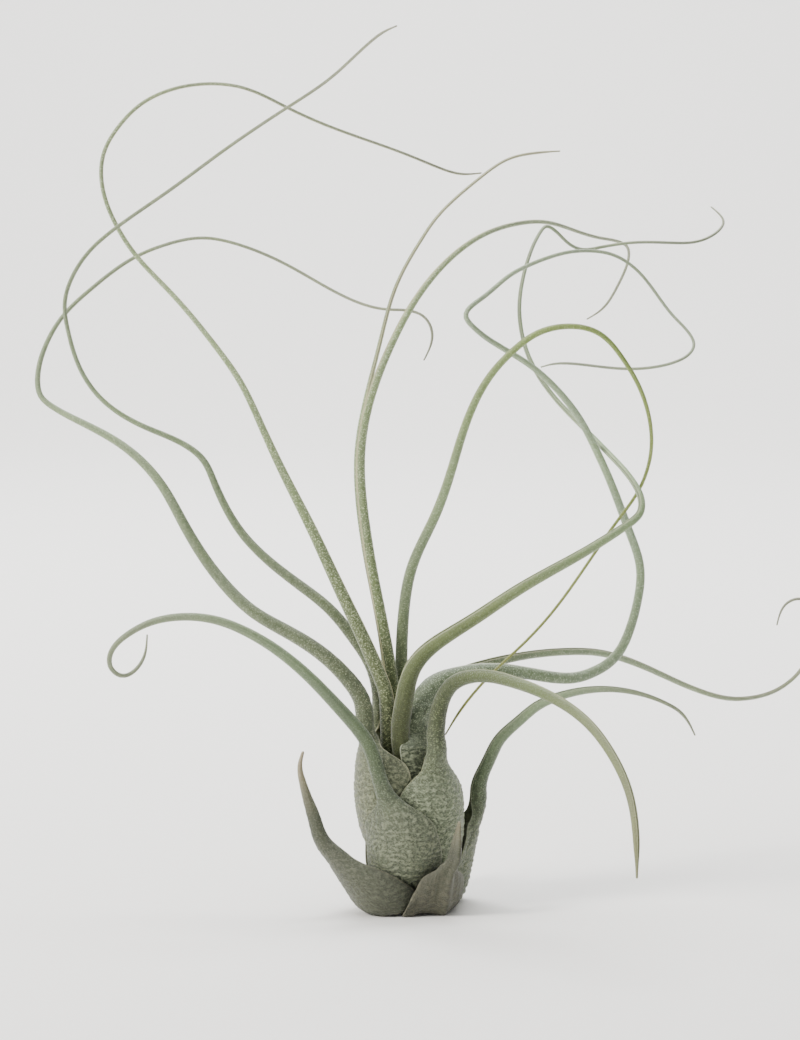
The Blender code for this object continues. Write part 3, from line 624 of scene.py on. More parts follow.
# From the innermost leaf to the outermost.
LEAVES: tuple[Leaf, ...] = (
    Leaf(
        "leaf_centre_arch",
        blade=(
            (-0.3, 0.1, 16.8), (-0.6, 0.2, 20), (-1.9, 0.8, 30), (-3.1, 1.4, 40), (-3.7, 1.7, 47),
            (-5.2, 1.9, 58), (-8.2, 2.5, 74), (-10.5, 3.5, 89), (-11.2, 4, 102), (-9.8, 4, 112),
            (-4, 5, 128), (0.7, 7, 136.7), (7, 10, 144.8), (16.5, 17, 152), (24, 24, 154.5),
            (31.5, 32, 155), (39, 42, 153), (46, 52, 151), (51, 60, 150), (53.5, 64, 148.5),
            (54, 67, 146), (51.5, 72, 138.5), (48, 75, 133), (44.5, 77, 130.5),
        ),
        girth=((0, 1.2), (0.14, 1.5), (0.3, 1.15), (0.48, 0.85), (0.65, 0.55), (0.8, 0.42), (1, 0.32)),
        facing=20,
        tone=Tone.SPECKLED,
    ),
    Leaf(
        "leaf_right_ring",
        blade=(
            (2.6, 1.8, 16.0), (2.6, 2.3, 19.5), (1.5, 4.2, 29), (-0.4, 4.9, 38), (-1.6, 5, 46),
            (-1.9, 4.8, 52), (-1.6, 3, 64), (1, -1, 79), (5, -4, 88), (8.5, -7, 97.5), (12.5, -11, 111),
            (18, -14, 122), (22.5, -15, 127), (28, -15, 131), (35, -14, 132.5), (41.5, -12, 131),
            (47, -9, 125.5), (51, -7, 119), (54, -4, 109.5), (54, 0, 101), (51.7, 2, 94.3),
            (47.5, 3, 88), (40.5, 0, 78.5), (31.5, 0, 66), (25.5, 0, 59.5), (19, -1, 53.5),
            (14.6, 0, 48.5), (10.8, 2, 43), (8.2, 2.6, 38.5),
        ),
        girth=(
            (0, 1.2), (0.12, 1.5), (0.2, 1.3), (0.35, 1.0), (0.53, 0.62), (0.66, 0.44), (0.8, 0.35),
            (1, 0.32),
        ),
        facing=-30, twist=((0, 0), (0.2, 0), (0.32, 35), (1, 35)),
        tone=Tone.FRESH,
    ),
    Leaf(
        "leaf_centre_back",
        blade=(
            (-1.0, 3.3, 15.6), (-1.2, 3.8, 19), (-2.8, 6.6, 29), (-3.9, 7.6, 38), (-4.7, 7.3, 46),
            (-5.6, 6.8, 56), (-7.2, 6.8, 66), (-10, 7.5, 80), (-11.7, 8, 92), (-12, 8.5, 103),
            (-10.7, 9, 112), (-6.8, 9.5, 128), (-3, 11, 141), (2.5, 13, 151), (6, 15, 156),
            (11, 17, 161), (16.5, 20, 165.5), (24, 25, 170), (29, 27, 171), (35, 30, 171.5),
        ),
        girth=((0, 1.1), (0.16, 1.25), (0.4, 0.85), (0.6, 0.52), (0.8, 0.38), (1, 0.32)),
        facing=110,
        tone=Tone.SPECKLED,
    ),
    Leaf(
        "leaf_left_hook",
        blade=(
            (-3.1, -1.1, 15.4), (-3.4, -1.3, 19), (-4.6, -2.5, 29), (-5, -2.7, 38), (-5.1, -2.5, 44),
            (-5.6, -2.3, 49), (-7, -2, 53), (-11, -1, 62), (-16.8, 1, 74), (-22.5, 3, 86),
            (-28.5, 6, 97.5), (-34, 8.5, 109), (-39, 11, 119), (-44, 13, 126), (-55.5, 16, 139.5),
            (-63, 17, 147.5), (-67.5, 17, 154.5), (-70.5, 16, 163.5), (-70, 16, 171), (-66.5, 16, 177),
            (-61.5, 17, 182), (-54, 18, 185.5), (-46.5, 20, 186.7), (-39, 21, 186), (-28.5, 25, 181.5),
            (-19.5, 28, 177.5), (0, 35, 170.5), (7, 38, 167.7), (12, 40, 166.3), (17, 42, 166.5),
        ),
        girth=(
            (0, 1.3), (0.1, 1.75), (0.16, 1.6), (0.27, 1.18), (0.36, 0.85), (0.45, 0.65), (0.6, 0.5),
            (0.8, 0.38), (1, 0.32),
        ),
        facing=184,
        tone=Tone.SPECKLED,
    ),
    Leaf(
        "leaf_right_elbow",
        blade=(
            (0.4, -3.4, 15.4), (0.4, -3.9, 19), (-0.4, -6.1, 28), (-1.9, -6.7, 36), (-2.1, -6.6, 42),
            (-1.4, -7, 47), (-0.5, -7.2, 52), (1.2, -8, 56.3), (4.3, -8, 59.8), (8.5, -9, 63),
            (14.8, -9, 67), (23.5, -10, 73), (32, -10, 78), (38, -9.5, 81.3), (43.5, -9, 84.6),
            (47, -8.5, 86.8), (49.8, -8, 88.7), (51.5, -7, 90.4), (52, -5.5, 92.6), (50.5, -2, 96.7),
            (46, 5, 102), (39.5, 12, 108.5), (33.5, 16, 114.7), (28.5, 18, 122), (26, 22, 129.5),
            (25.5, 24, 134.5), (26, 27, 139.7), (28.5, 34, 148), (31.2, 40, 152.8), (32.7, 42, 153.9),
            (34.5, 43, 153), (38, 45, 149.8), (41, 46, 148.4), (45, 47, 148.7), (54, 47, 150),
            (63, 48, 149.9), (70, 52, 150.3), (74.5, 55, 152.4), (76.3, 58, 155), (73.6, 61, 158.4),
        ),
        girth=(
            (0, 1.6), (0.11, 2.15), (0.17, 1.85), (0.22, 1.5), (0.37, 1.02), (0.45, 0.72), (0.6, 0.55),
            (0.8, 0.4), (1, 0.32),
        ),
        facing=-25, twist=((0, 0), (0.1, 0), (0.2, 45), (1, 45)),
        tone=Tone.SMOOTH, specks=0.015,
    ),
    Leaf(
        "leaf_left_tall",
        sheath=(
            (-3.6, 3.6, 10.5), (-5.6, 5.6, 12.5), (-7.0, 6.9, 18), (-8.0, 6.8, 27), (-8.7, 5.0, 36),
            (-7.3, 3.4, 44),
        ),
        blade=(
            (-7.7, 3, 50.5), (-9.3, 3.5, 55), (-13, 5, 60.5), (-18, 6, 66.5), (-25.7, 8, 72.5),
            (-33, 9, 78.2), (-38.3, 10, 83.6), (-41.8, 10, 89), (-45, 10, 96), (-47.5, 10, 101),
            (-51, 10, 104), (-60.5, 8, 108.6), (-66.5, 7, 112), (-71, 6, 116), (-74.3, 5, 121),
            (-77, 1, 130.5), (-77.5, -1, 137.5), (-75.7, -2, 143), (-72, -2.5, 148.5),
            (-65.7, -3, 154), (-54, -5, 162), (-42, -9, 170.5), (-27, -14, 180.3), (-18, -20, 186),
            (-9.5, -30, 193), (-6, -34, 195.5), (-3, -38, 196.7),
        ),
        girth=((0, 1.5), (0.1, 1.3), (0.28, 0.87), (0.34, 0.7), (0.42, 0.57), (0.65, 0.43), (1, 0.32)),
        spread=(50, 64, 40), bulge=6.5, twist=((0, 0), (0.1, 70), (1, 70)),
        tone=Tone.GREY_GREEN,
    ),
    Leaf(
        "leaf_right_loop",
        sheath=(
            (4.8, -1.2, 9.5), (7.0, -2.2, 11.3), (8.8, -3.6, 17), (9.0, -4.4, 26), (7.0, -5.2, 34),
            (4.7, -4.2, 40), (3.1, -1.4, 46.2),
        ),
        blade=(
            (5.6, 0.8, 50), (9.6, 2.5, 51.6), (14.9, 4, 52.5), (19.5, 5, 52.8),
            (23.7, 6, 52.5), (29.5, 7, 51.5), (34, 8, 50.7), (38.8, 9, 50.7), (42, 10, 51.6),
            (45.3, 10, 53.4), (47.8, 10, 55.8), (50.7, 10, 61.6), (52.6, 10, 69), (53, 10, 76),
            (50.6, 10, 84), (45.5, 8, 97), (42.2, 6, 104), (38.5, 3, 110.8), (33.4, 0, 117.4),
            (26.4, -4, 123.7), (18, -8, 129), (14.2, -10, 132), (12.4, -10, 134.3), (16, -7, 138.5),
            (21.7, -3, 143), (27.7, 2, 146), (34.6, 5, 148.2), (40.6, 8, 148.7), (45.5, 9, 148),
            (52, 10, 144), (59.8, 7, 134), (63, 5, 130.5), (64.2, 3, 127.5), (63, 1.5, 125.6),
            (60, 0, 124), (50, 1, 122.3), (39.5, 5, 123), (32.6, 8, 123), (30, 10, 122.2),
        ),
        girth=(
            (0, 3.0), (0.025, 2.4), (0.1, 1.45), (0.24, 1.02), (0.33, 0.96), (0.42, 0.82), (0.51, 0.66),
            (0.66, 0.48), (0.76, 0.38), (1, 0.32),
        ),
        spread=(54, 70, 63), bulge=7.5, roll=0.72, pressed=0.8, twist=((0, 0), (0.1, 45), (1, 45)),
        tone=Tone.DEEP_GREEN,
    ),
    Leaf(
        "leaf_right_trailing",
        sheath=(
            (2.6, 4.4, 8.2), (4.7, 7.8, 9.6), (6.3, 10.5, 15), (6.6, 10.7, 24), (5.5, 8.6, 33),
            (3.9, 6.1, 41),
        ),
        blade=(
            (4.4, 6.5, 45.5), (6.9, 8, 49), (11.4, 11, 51.3), (19.5, 15, 53.3), (27.7, 20, 54.2),
            (37.4, 27, 54), (45.5, 34, 52.6), (56.5, 43, 48), (70.5, 54, 40.5), (77, 58, 38),
            (83, 62, 37), (88, 64, 37.5), (93, 66, 39.3), (97.4, 66, 43.3), (100, 64, 50.2),
            (99.3, 61, 58.5), (96.2, 58, 62.5), (93, 57, 61.7), (90.2, 55, 56.5),
        ),
        girth=((0, 1.8), (0.1, 1.3), (0.2, 1.0), (0.35, 0.87), (0.5, 0.72), (0.7, 0.54), (1, 0.32)),
        spread=(50, 60, 42), bulge=7.6,
        tone=Tone.GREY_GREEN,
    ),
    Leaf(
        "leaf_left_arch",
        sheath=(
            (-4.1, -3.2, 7.6), (-6.0, -4.8, 9.2), (-8.2, -6.6, 13.5), (-10.3, -8.2, 20.5),
            (-11.1, -8.4, 28), (-10.9, -7.0, 36), (-10.3, -5.0, 43),
        ),
        blade=(
            (-10.9, -4.3, 47.3), (-13.8, -4, 52), (-19.7, -3, 57.7), (-28.4, -1, 63), (-35.4, 0, 67),
            (-41.2, 2, 72), (-47.2, 4, 79.4), (-51.8, 5, 87), (-56.5, 7, 95), (-61.8, 9, 101),
            (-68.4, 12, 105.6), (-76, 15, 109.3), (-82.6, 18, 112.5), (-85.5, 19, 115),
            (-86.3, 20, 119), (-85.2, 22, 125), (-80.6, 25, 133.5), (-74.4, 27, 139.5),
            (-64, 30, 147), (-57, 31, 149.8), (-48.5, 32, 151.3), (-41, 32, 150), (-28.8, 32, 145),
            (-13.7, 28, 137), (-5, 25, 134.8), (0.2, 24, 134.5), (3.5, 23, 133), (5.2, 22, 129.5),
            (3.3, 20, 123.3),
        ),
        girth=(
            (0, 2.1), (0.06, 1.75), (0.15, 1.45), (0.3, 1.12), (0.385, 0.9), (0.46, 0.68), (0.55, 0.52),
            (0.7, 0.4), (1, 0.32),
        ),
        spread=(48, 60, 54), bulge=7.8, roll=0.68,
        tone=Tone.GREY_GREEN,
    ),
    Leaf(
        "leaf_front_droop",
        sheath=(
            (3.9, -3.5, 5.9), (6.7, -6.1, 6.6), (8.8, -8.3, 10.5), (9.6, -9.6, 17.5), (9.2, -10.6, 25),
            (7.4, -11.4, 33), (5.8, -11.0, 40),
        ),
        blade=(
            (6.1, -11, 44.3), (7, -11.3, 48.3), (9.2, -12.5, 52.2), (13, -15.2, 54.5),
            (17.4, -19, 55.3), (21.7, -23.5, 55), (29.9, -33, 53.2), (37, -42.5, 49.7), (42, -52, 44.5),
            (45.4, -60, 37.7), (46.6, -68, 28), (46.5, -71, 21.5),
        ),
        girth=(
            (0, 2.15), (0.1, 1.8), (0.2, 1.5), (0.35, 1.3), (0.5, 1.12), (0.75, 0.95), (0.92, 0.75),
            (1, 0.4),
        ),
        spread=(48, 58, 50), bulge=8.2, roll=0.58,
        tone=Tone.OLIVE, specks=0.012,
    ),
    Leaf(
        "leaf_front_curl",
        sheath=(
            (-0.9, -5.3, 4.5), (-2.0, -9.8, 5.4), (-2.6, -13.6, 9), (-2.6, -15.4, 14.5),
            (-3.2, -15.5, 20), (-4.8, -14.7, 25.5), (-6.8, -13.2, 31),
        ),
        blade=(
            (-7.9, -12.7, 35), (-9.3, -12.6, 38.7), (-11.8, -12.9, 42.5), (-16, -14, 47.5),
            (-22, -17, 54.4), (-30.5, -20, 62), (-36, -22, 65.6), (-43, -24, 68.6), (-50, -25, 69.4),
            (-56.5, -26, 68.4), (-62, -26.5, 65.6), (-65.6, -26, 61.6), (-65.7, -25, 58.1),
            (-63.5, -24, 56.2), (-60.8, -22, 57), (-58.7, -20, 60.2), (-58.2, -19, 64.5),
        ),
        girth=((0, 1.75), (0.1, 1.6), (0.25, 1.35), (0.45, 1.1), (0.65, 0.85), (0.8, 0.62), (1, 0.32)),
        spread=(42, 42, 33), bulge=8.8, roll=0.56,
        tone=Tone.BLUE_GREEN, specks=0.015, keel=-0.1,
    ),
    Leaf(
        "leaf_right_low",
        sheath=(
            (6.3, 1.6, 1.6), (10.2, 2.6, -0.7), (13.2, 3.4, 4.2), (14.9, 3.8, 12), (16.2, 3.6, 19),
            (15.8, 2.8, 26),
        ),
        blade=(
            (18.2, 1.4, 33), (20.1, 0, 37.2), (21.9, -1, 39.6), (24.8, -2, 42.4), (28.6, -3, 45.8),
            (32.2, -4, 47.8), (36, -4, 49), (40.3, -4, 49.8), (45, -4, 50), (53.8, -3, 48.3),
            (58.5, -1.5, 46.2), (61.8, 0, 43.9), (63.7, 1, 41.4), (65.2, 2, 38.4),
        ),
        girth=(
            (0, 1.9), (0.07, 1.55), (0.15, 1.45), (0.25, 1.3), (0.4, 1.12), (0.55, 0.86), (0.66, 0.68),
            (0.8, 0.47), (1, 0.32),
        ),
        spread=(26, 42, 46), bulge=8.0, roll=0.4,
        tone=Tone.BLUE_GREEN,
    ),
    Leaf(
        "leaf_back_old",
        sheath=(
            (-1.6, 6.2, 1.6), (-2.6, 10.4, -0.3), (-3.6, 14.0, 4.2), (-4.2, 16.0, 12), (-4.8, 16.2, 19),
            (-5.4, 16.4, 25),
        ),
        blade=((-6.0, 17.0, 29), (-6.9, 18.4, 33), (-8.4, 19.8, 37)),
        girth=((0, 1.4), (1, 0.32)),
        spread=(26, 38, 28), bulge=8.8, old=True,
        tone=Tone.DRAB, wrinkles=0.08, ridges=0.06, keel=0.3,
    ),
    Leaf(
        "leaf_left_old",
        sheath=(
            (-1.8, -5.9, 2.4), (-3.8, -10.2, 1.6), (-7.2, -13.9, 0.1), (-11.8, -15.2, 4.8),
            (-16.4, -13.6, 10.2), (-19.8, -11.2, 15.6), (-21.4, -9.6, 20.6),
        ),
        blade=((-22.8, -8.4, 24.6), (-24.2, -7.5, 29), (-24.9, -6.9, 33), (-24.2, -6.4, 36)),
        girth=((0, 1.6), (0.5, 0.95), (1, 0.32)),
        spread=(24, 40, 26), bulge=8.0, roll=0.4, pressed=0.7, old=True,
        tone=Tone.DRAB, wrinkles=0.06, ridges=0.07,
    ),
    Leaf(
        "leaf_right_old",
        sheath=(
            (4.0, -5.3, 1.6), (6.0, -9.2, -0.6), (7.3, -12.8, 0.8), (8.2, -15.0, 5.4),
            (9.1, -15.9, 10.2), (10.0, -15.6, 14.5),
        ),
        blade=((10.3, -15.3, 17), (10.7, -14.8, 19.3), (11.0, -14.2, 21.5)),
        girth=((0, 1.4), (1, 0.32)),
        spread=(12, 36, 20), bulge=8.0, old=True,
        tone=Tone.BROWN, wrinkles=0.08, ridges=0.04, keel=1.1,
    ),
)


@dataclass(frozen=True)
class Weave:
    """How finely a stretch of leaf is divided: points across its sides, and the step along it."""

    outer: int
    inner: int
    margin: int
    step: float

    def around(self) -> np.ndarray:
        """Places the points round a closed section.

        Returns:
            0 to 1 on the outer side, to 2 on a margin, to 3 on the inner side, to 4 on the other margin.
        """
        rim = np.arange(1, self.margin + 1) / (self.margin + 1)
        outer, inner = np.linspace(0, 1, self.outer), np.linspace(2, 3, self.inner)
        return np.concatenate([outer, 1 + rim, inner, 3 + rim])


SHEATH_WEAVE = Weave(101, 13, 3, 0.2)
BLADE_WEAVE = Weave(27, 9, 2, 0.45)
THIN_WEAVE = Weave(13, 5, 1, 0.9)
COARSE_WEAVE = Weave(11, 11, 0, 4.0)

# Round a closed section: how far across the leaf a point lies, and how far on its inner side
ACROSS: Stops = ((0, -1), (1, 1), (2, 1), (3, -1), (4, -1))
INWARD: Stops = ((0, 0), (1, 0), (1.01, 0.5), (1.99, 0.5), (2, 1), (3, 1), (3.01, 0.5), (3.99, 0.5))


@dataclass
class Sections:
    """Cross-sections along a leaf: where each lies, which way it faces and how far along it is."""

    place: np.ndarray
    back: np.ndarray
    side: np.ndarray
    length: np.ndarray
    share: np.ndarray  # 0 where the sheath starts, 1 at the neck and beyond
    along: np.ndarray  # 0 at the neck, 1 at the tip
    radius: np.ndarray


def outward(points: np.ndarray) -> Pair:
    """The way sheaths are pressed: level beside the stem, from the belly elsewhere.

    Args:
        points: the points to press.

    Returns:
        The height on the axis that each is pressed from, and the direction.
    """
    reach = np.hypot(points[..., 0], points[..., 1])
    below = np.maximum(BELLY_HEIGHT - points[..., 2], 0)
    height = points[..., 2] + below * ease((reach - STEM_CLEARANCE) / LIFTING_REACH)
    arm = points.copy()
    arm[..., 2] -= height
    return height, unit(arm)


def evened(amounts: np.ndarray, near: int = 2, gain: float = 1.15) -> np.ndarray:
    """Blends the edges of a patch of moves into the moves around it.

    Args:
        amounts: how far each point moves, in rows.
        near: how many points to each side are felt.
        gain: what makes up for the height lost in blending.

    Returns:
        The moves, none of them made less.
    """
    padded = np.pad(amounts, near, mode="edge")
    rows, columns = amounts.shape
    window = range(2 * near + 1)
    shifted = [padded[i : i + rows, j : j + columns] for i in window for j in window]
    return np.maximum(amounts, np.mean(shifted, axis=0) * gain)


@dataclass
class Bulb:
    """What has been built so far, as seen from outside along rays towards its middle."""

    reach: float = 60.0  # farther out than any sheath
    gap: float = 0.55  # room that a sheath keeps from the ones inside it
    spread: float = 4.0  # how far to either side of a point the bulb is felt, in degrees
    rise: float = 0.6  # how far up and down it is felt

    def __post_init__(self) -> None:
        """Starts with nothing in it."""
        self.points: list[Vector] = []
        self.faces: list[list[int]] = []
        self.tree: BVHTree | None = None

    def add(self, points: np.ndarray, faces: np.ndarray) -> None:
        """Adds a mesh.

        Args:
            points: its points.
            faces: the corners of each of its faces.
        """
        start = len(self.points)
        self.points += [Vector(point) for point in points]
        self.faces += [[start + int(i) for i in face] for face in faces]
        self.tree = BVHTree.FromPolygons(self.points, self.faces)

    def surface(self, height: float, direction: np.ndarray) -> float:
        """Measures how far out the bulb reaches.

        Args:
            height: the height on the axis that is measured from.
            direction: the way to go from there.

        Returns:
            The distance, or 0 where there is nothing.
        """
        axis = Vector((0, 0, height))
        hit = self.tree.ray_cast(axis + Vector(direction) * self.reach, -Vector(direction), self.reach)
        return 0.0 if hit[0] is None else (hit[0] - axis).length

    def shortfall(self, point: np.ndarray) -> float:
        """Works out how much farther out a point of a sheath's inner side must go.

        Args:
            point: the point of the inner side.

        Returns:
            The missing distance, or 0 where the point is clear.
        """
        height, direction = outward(point)
        reach = np.linalg.norm(point - np.array([0, 0, height]))
        found = 0.0
        for turn in np.radians((-self.spread, 0, self.spread)):
            for lift in (-self.rise, 0, self.rise):
                x, y, z = direction * reach
                c, s = math.cos(turn), math.sin(turn)
                probe = np.array([x * c - y * s, x * s + y * c, z + lift])
                found = max(found, self.surface(float(height), unit(probe)))
        return max(0.0, found + self.gap - reach) if found else 0.0

    def pressed(self, inner: np.ndarray) -> np.ndarray:
        """Works out how a sheath moves outwards past what it wraps.

        Args:
            inner: the sheath's inner side, with shape (sections, points across, 3).

        Returns:
            The move of each point.
        """
        moved = inner.copy()
        for evenly in (True, True, False):
            amounts = np.array([[self.shortfall(point) for point in row] for row in moved])
            amounts = evened(amounts) if evenly else amounts
            moved += outward(moved)[1] * amounts[..., None]
        return moved - inner


def band_faces(rings: int, across: int, start: int) -> np.ndarray:
    """Four-sided faces between closed rings of points.

    Args:
        rings: how many rings there are.
        across: how many points each has.
        start: the first point's number.

    Returns:
        The corners of each face.
    """
    row = start + np.arange(rings - 1)[:, None] * across
    first, after = row + np.arange(across), row + (np.arange(across) + 1) % across
    return np.stack([first, after, after + across, first + across], axis=-1).reshape(-1, 4)


def zip_rows(
    first: np.ndarray, second: np.ndarray, at_first: np.ndarray, at_second: np.ndarray,
    flipped: bool = False,
) -> list[tuple[int, ...]]:
    """Triangles between two rows of point numbers that may differ in length.

    Args:
        first: one row.
        second: the other row.
        at_first: how far along the row each point of the first lies.
        at_second: the same for the second.
        flipped: whether the triangles face the other way.

    Returns:
        The corners of each triangle.
    """
    faces, i, j = [], 0, 0
    while i < len(first) - 1 or j < len(second) - 1:
        if i < len(first) - 1 and (j == len(second) - 1 or at_first[i + 1] <= at_second[j + 1]):
            faces.append((int(first[i]), int(first[i + 1]), int(second[j])))
            i += 1
        else:
            faces.append((int(first[i]), int(second[j + 1]), int(second[j])))
            j += 1
    return [face[::-1] for face in faces] if flipped else faces


def placed(name: str, data: bpy.types.ID) -> bpy.types.Object:
    """Puts an object in the scene.

    Args:
        name: the object's name.
        data: its mesh, light or camera.

    Returns:
        The object.
    """
    made = bpy.data.objects.new(name, data)
    bpy.context.scene.collection.objects.link(made)
    return made


class Shell:
    """A closed skin made of bands of rings, each band with its own number of points across."""

    def __init__(self) -> None:
        """Starts empty."""
        self.points: list[np.ndarray] = []
        self.faces: list[tuple[int, ...]] = []
        self.values: dict[str, list[np.ndarray]] = {}
        self.count = 0
        self.last: np.ndarray | None = None
        self.around: np.ndarray | None = None

    def add(self, loops: np.ndarray, around: np.ndarray, **values: np.ndarray) -> None:
        """Adds a band and joins it to the one before.

        Args:
            loops: the points, with shape (rings, points around, 3).
            around: where round the ring each point is, from 0 to 4.
            values: what each point carries.
        """
        rings, across = loops.shape[:2]
        self.faces += [tuple(face) for face in band_faces(rings, across, self.count).tolist()]
        first = np.arange(self.count, self.count + across)
        if self.last is None:
            wide = int(np.argmax(around > 1))
            places = np.interp(around, (0, 1, 2, 3, 4), (0, 1, 1, 0, 0))
            rows = (first[:wide], first[wide:][::-1], places[:wide], places[wide:][::-1])
            self.faces += zip_rows(*rows, flipped=True)
        else:
            last, before = np.append(self.last, self.last[0]), np.append(self.around, 4)
            self.faces += zip_rows(last, np.append(first, first[0]), before, np.append(around, 4))
        self.around = around
        self.points.append(loops.reshape(-1, 3))
        for name, value in values.items():
            self.values.setdefault(name, []).append(value.reshape(rings * across, -1))
        self.count += rings * across
        self.last = np.arange(self.count - across, self.count)

    def close(self, tip: np.ndarray) -> None:
        """Draws the last ring together.

        Args:
            tip: the point that it is drawn together in.
        """
        ring = self.last.tolist()
        self.faces += [(point, after, self.count) for point, after in zip(ring, ring[1:] + ring[:1])]
        self.points.append(tip[None])
        for values in self.values.values():
            values.append(values[-1][-1:])
        self.count += 1

    def piece(self, name: str) -> bpy.types.Object:
        """Makes the object.

        Args:
            name: the object's name.

        Returns:
            A smooth mesh in metres that carries the values, with its faces outwards.
        """
        points = np.concatenate(self.points)
        corners = np.array([face[:3] for face in self.faces])
        a, b, c = (points[corners[:, k]] for k in range(3))
        if np.einsum("ij,ij->", a, np.cross(b, c)) < 0:
            self.faces = [face[::-1] for face in self.faces]
        mesh = bpy.data.meshes.new(name)
        mesh.from_pydata((points * MM).tolist(), [], self.faces)
        for label, values in self.values.items():
            value = np.concatenate(values)
            kind, field = ("FLOAT_VECTOR", "vector") if value.shape[1] == 3 else ("FLOAT", "value")
            mesh.attributes.new(label, kind, "POINT").data.foreach_set(field, value.ravel())
        mesh.shade_smooth()
        return placed(name, mesh)


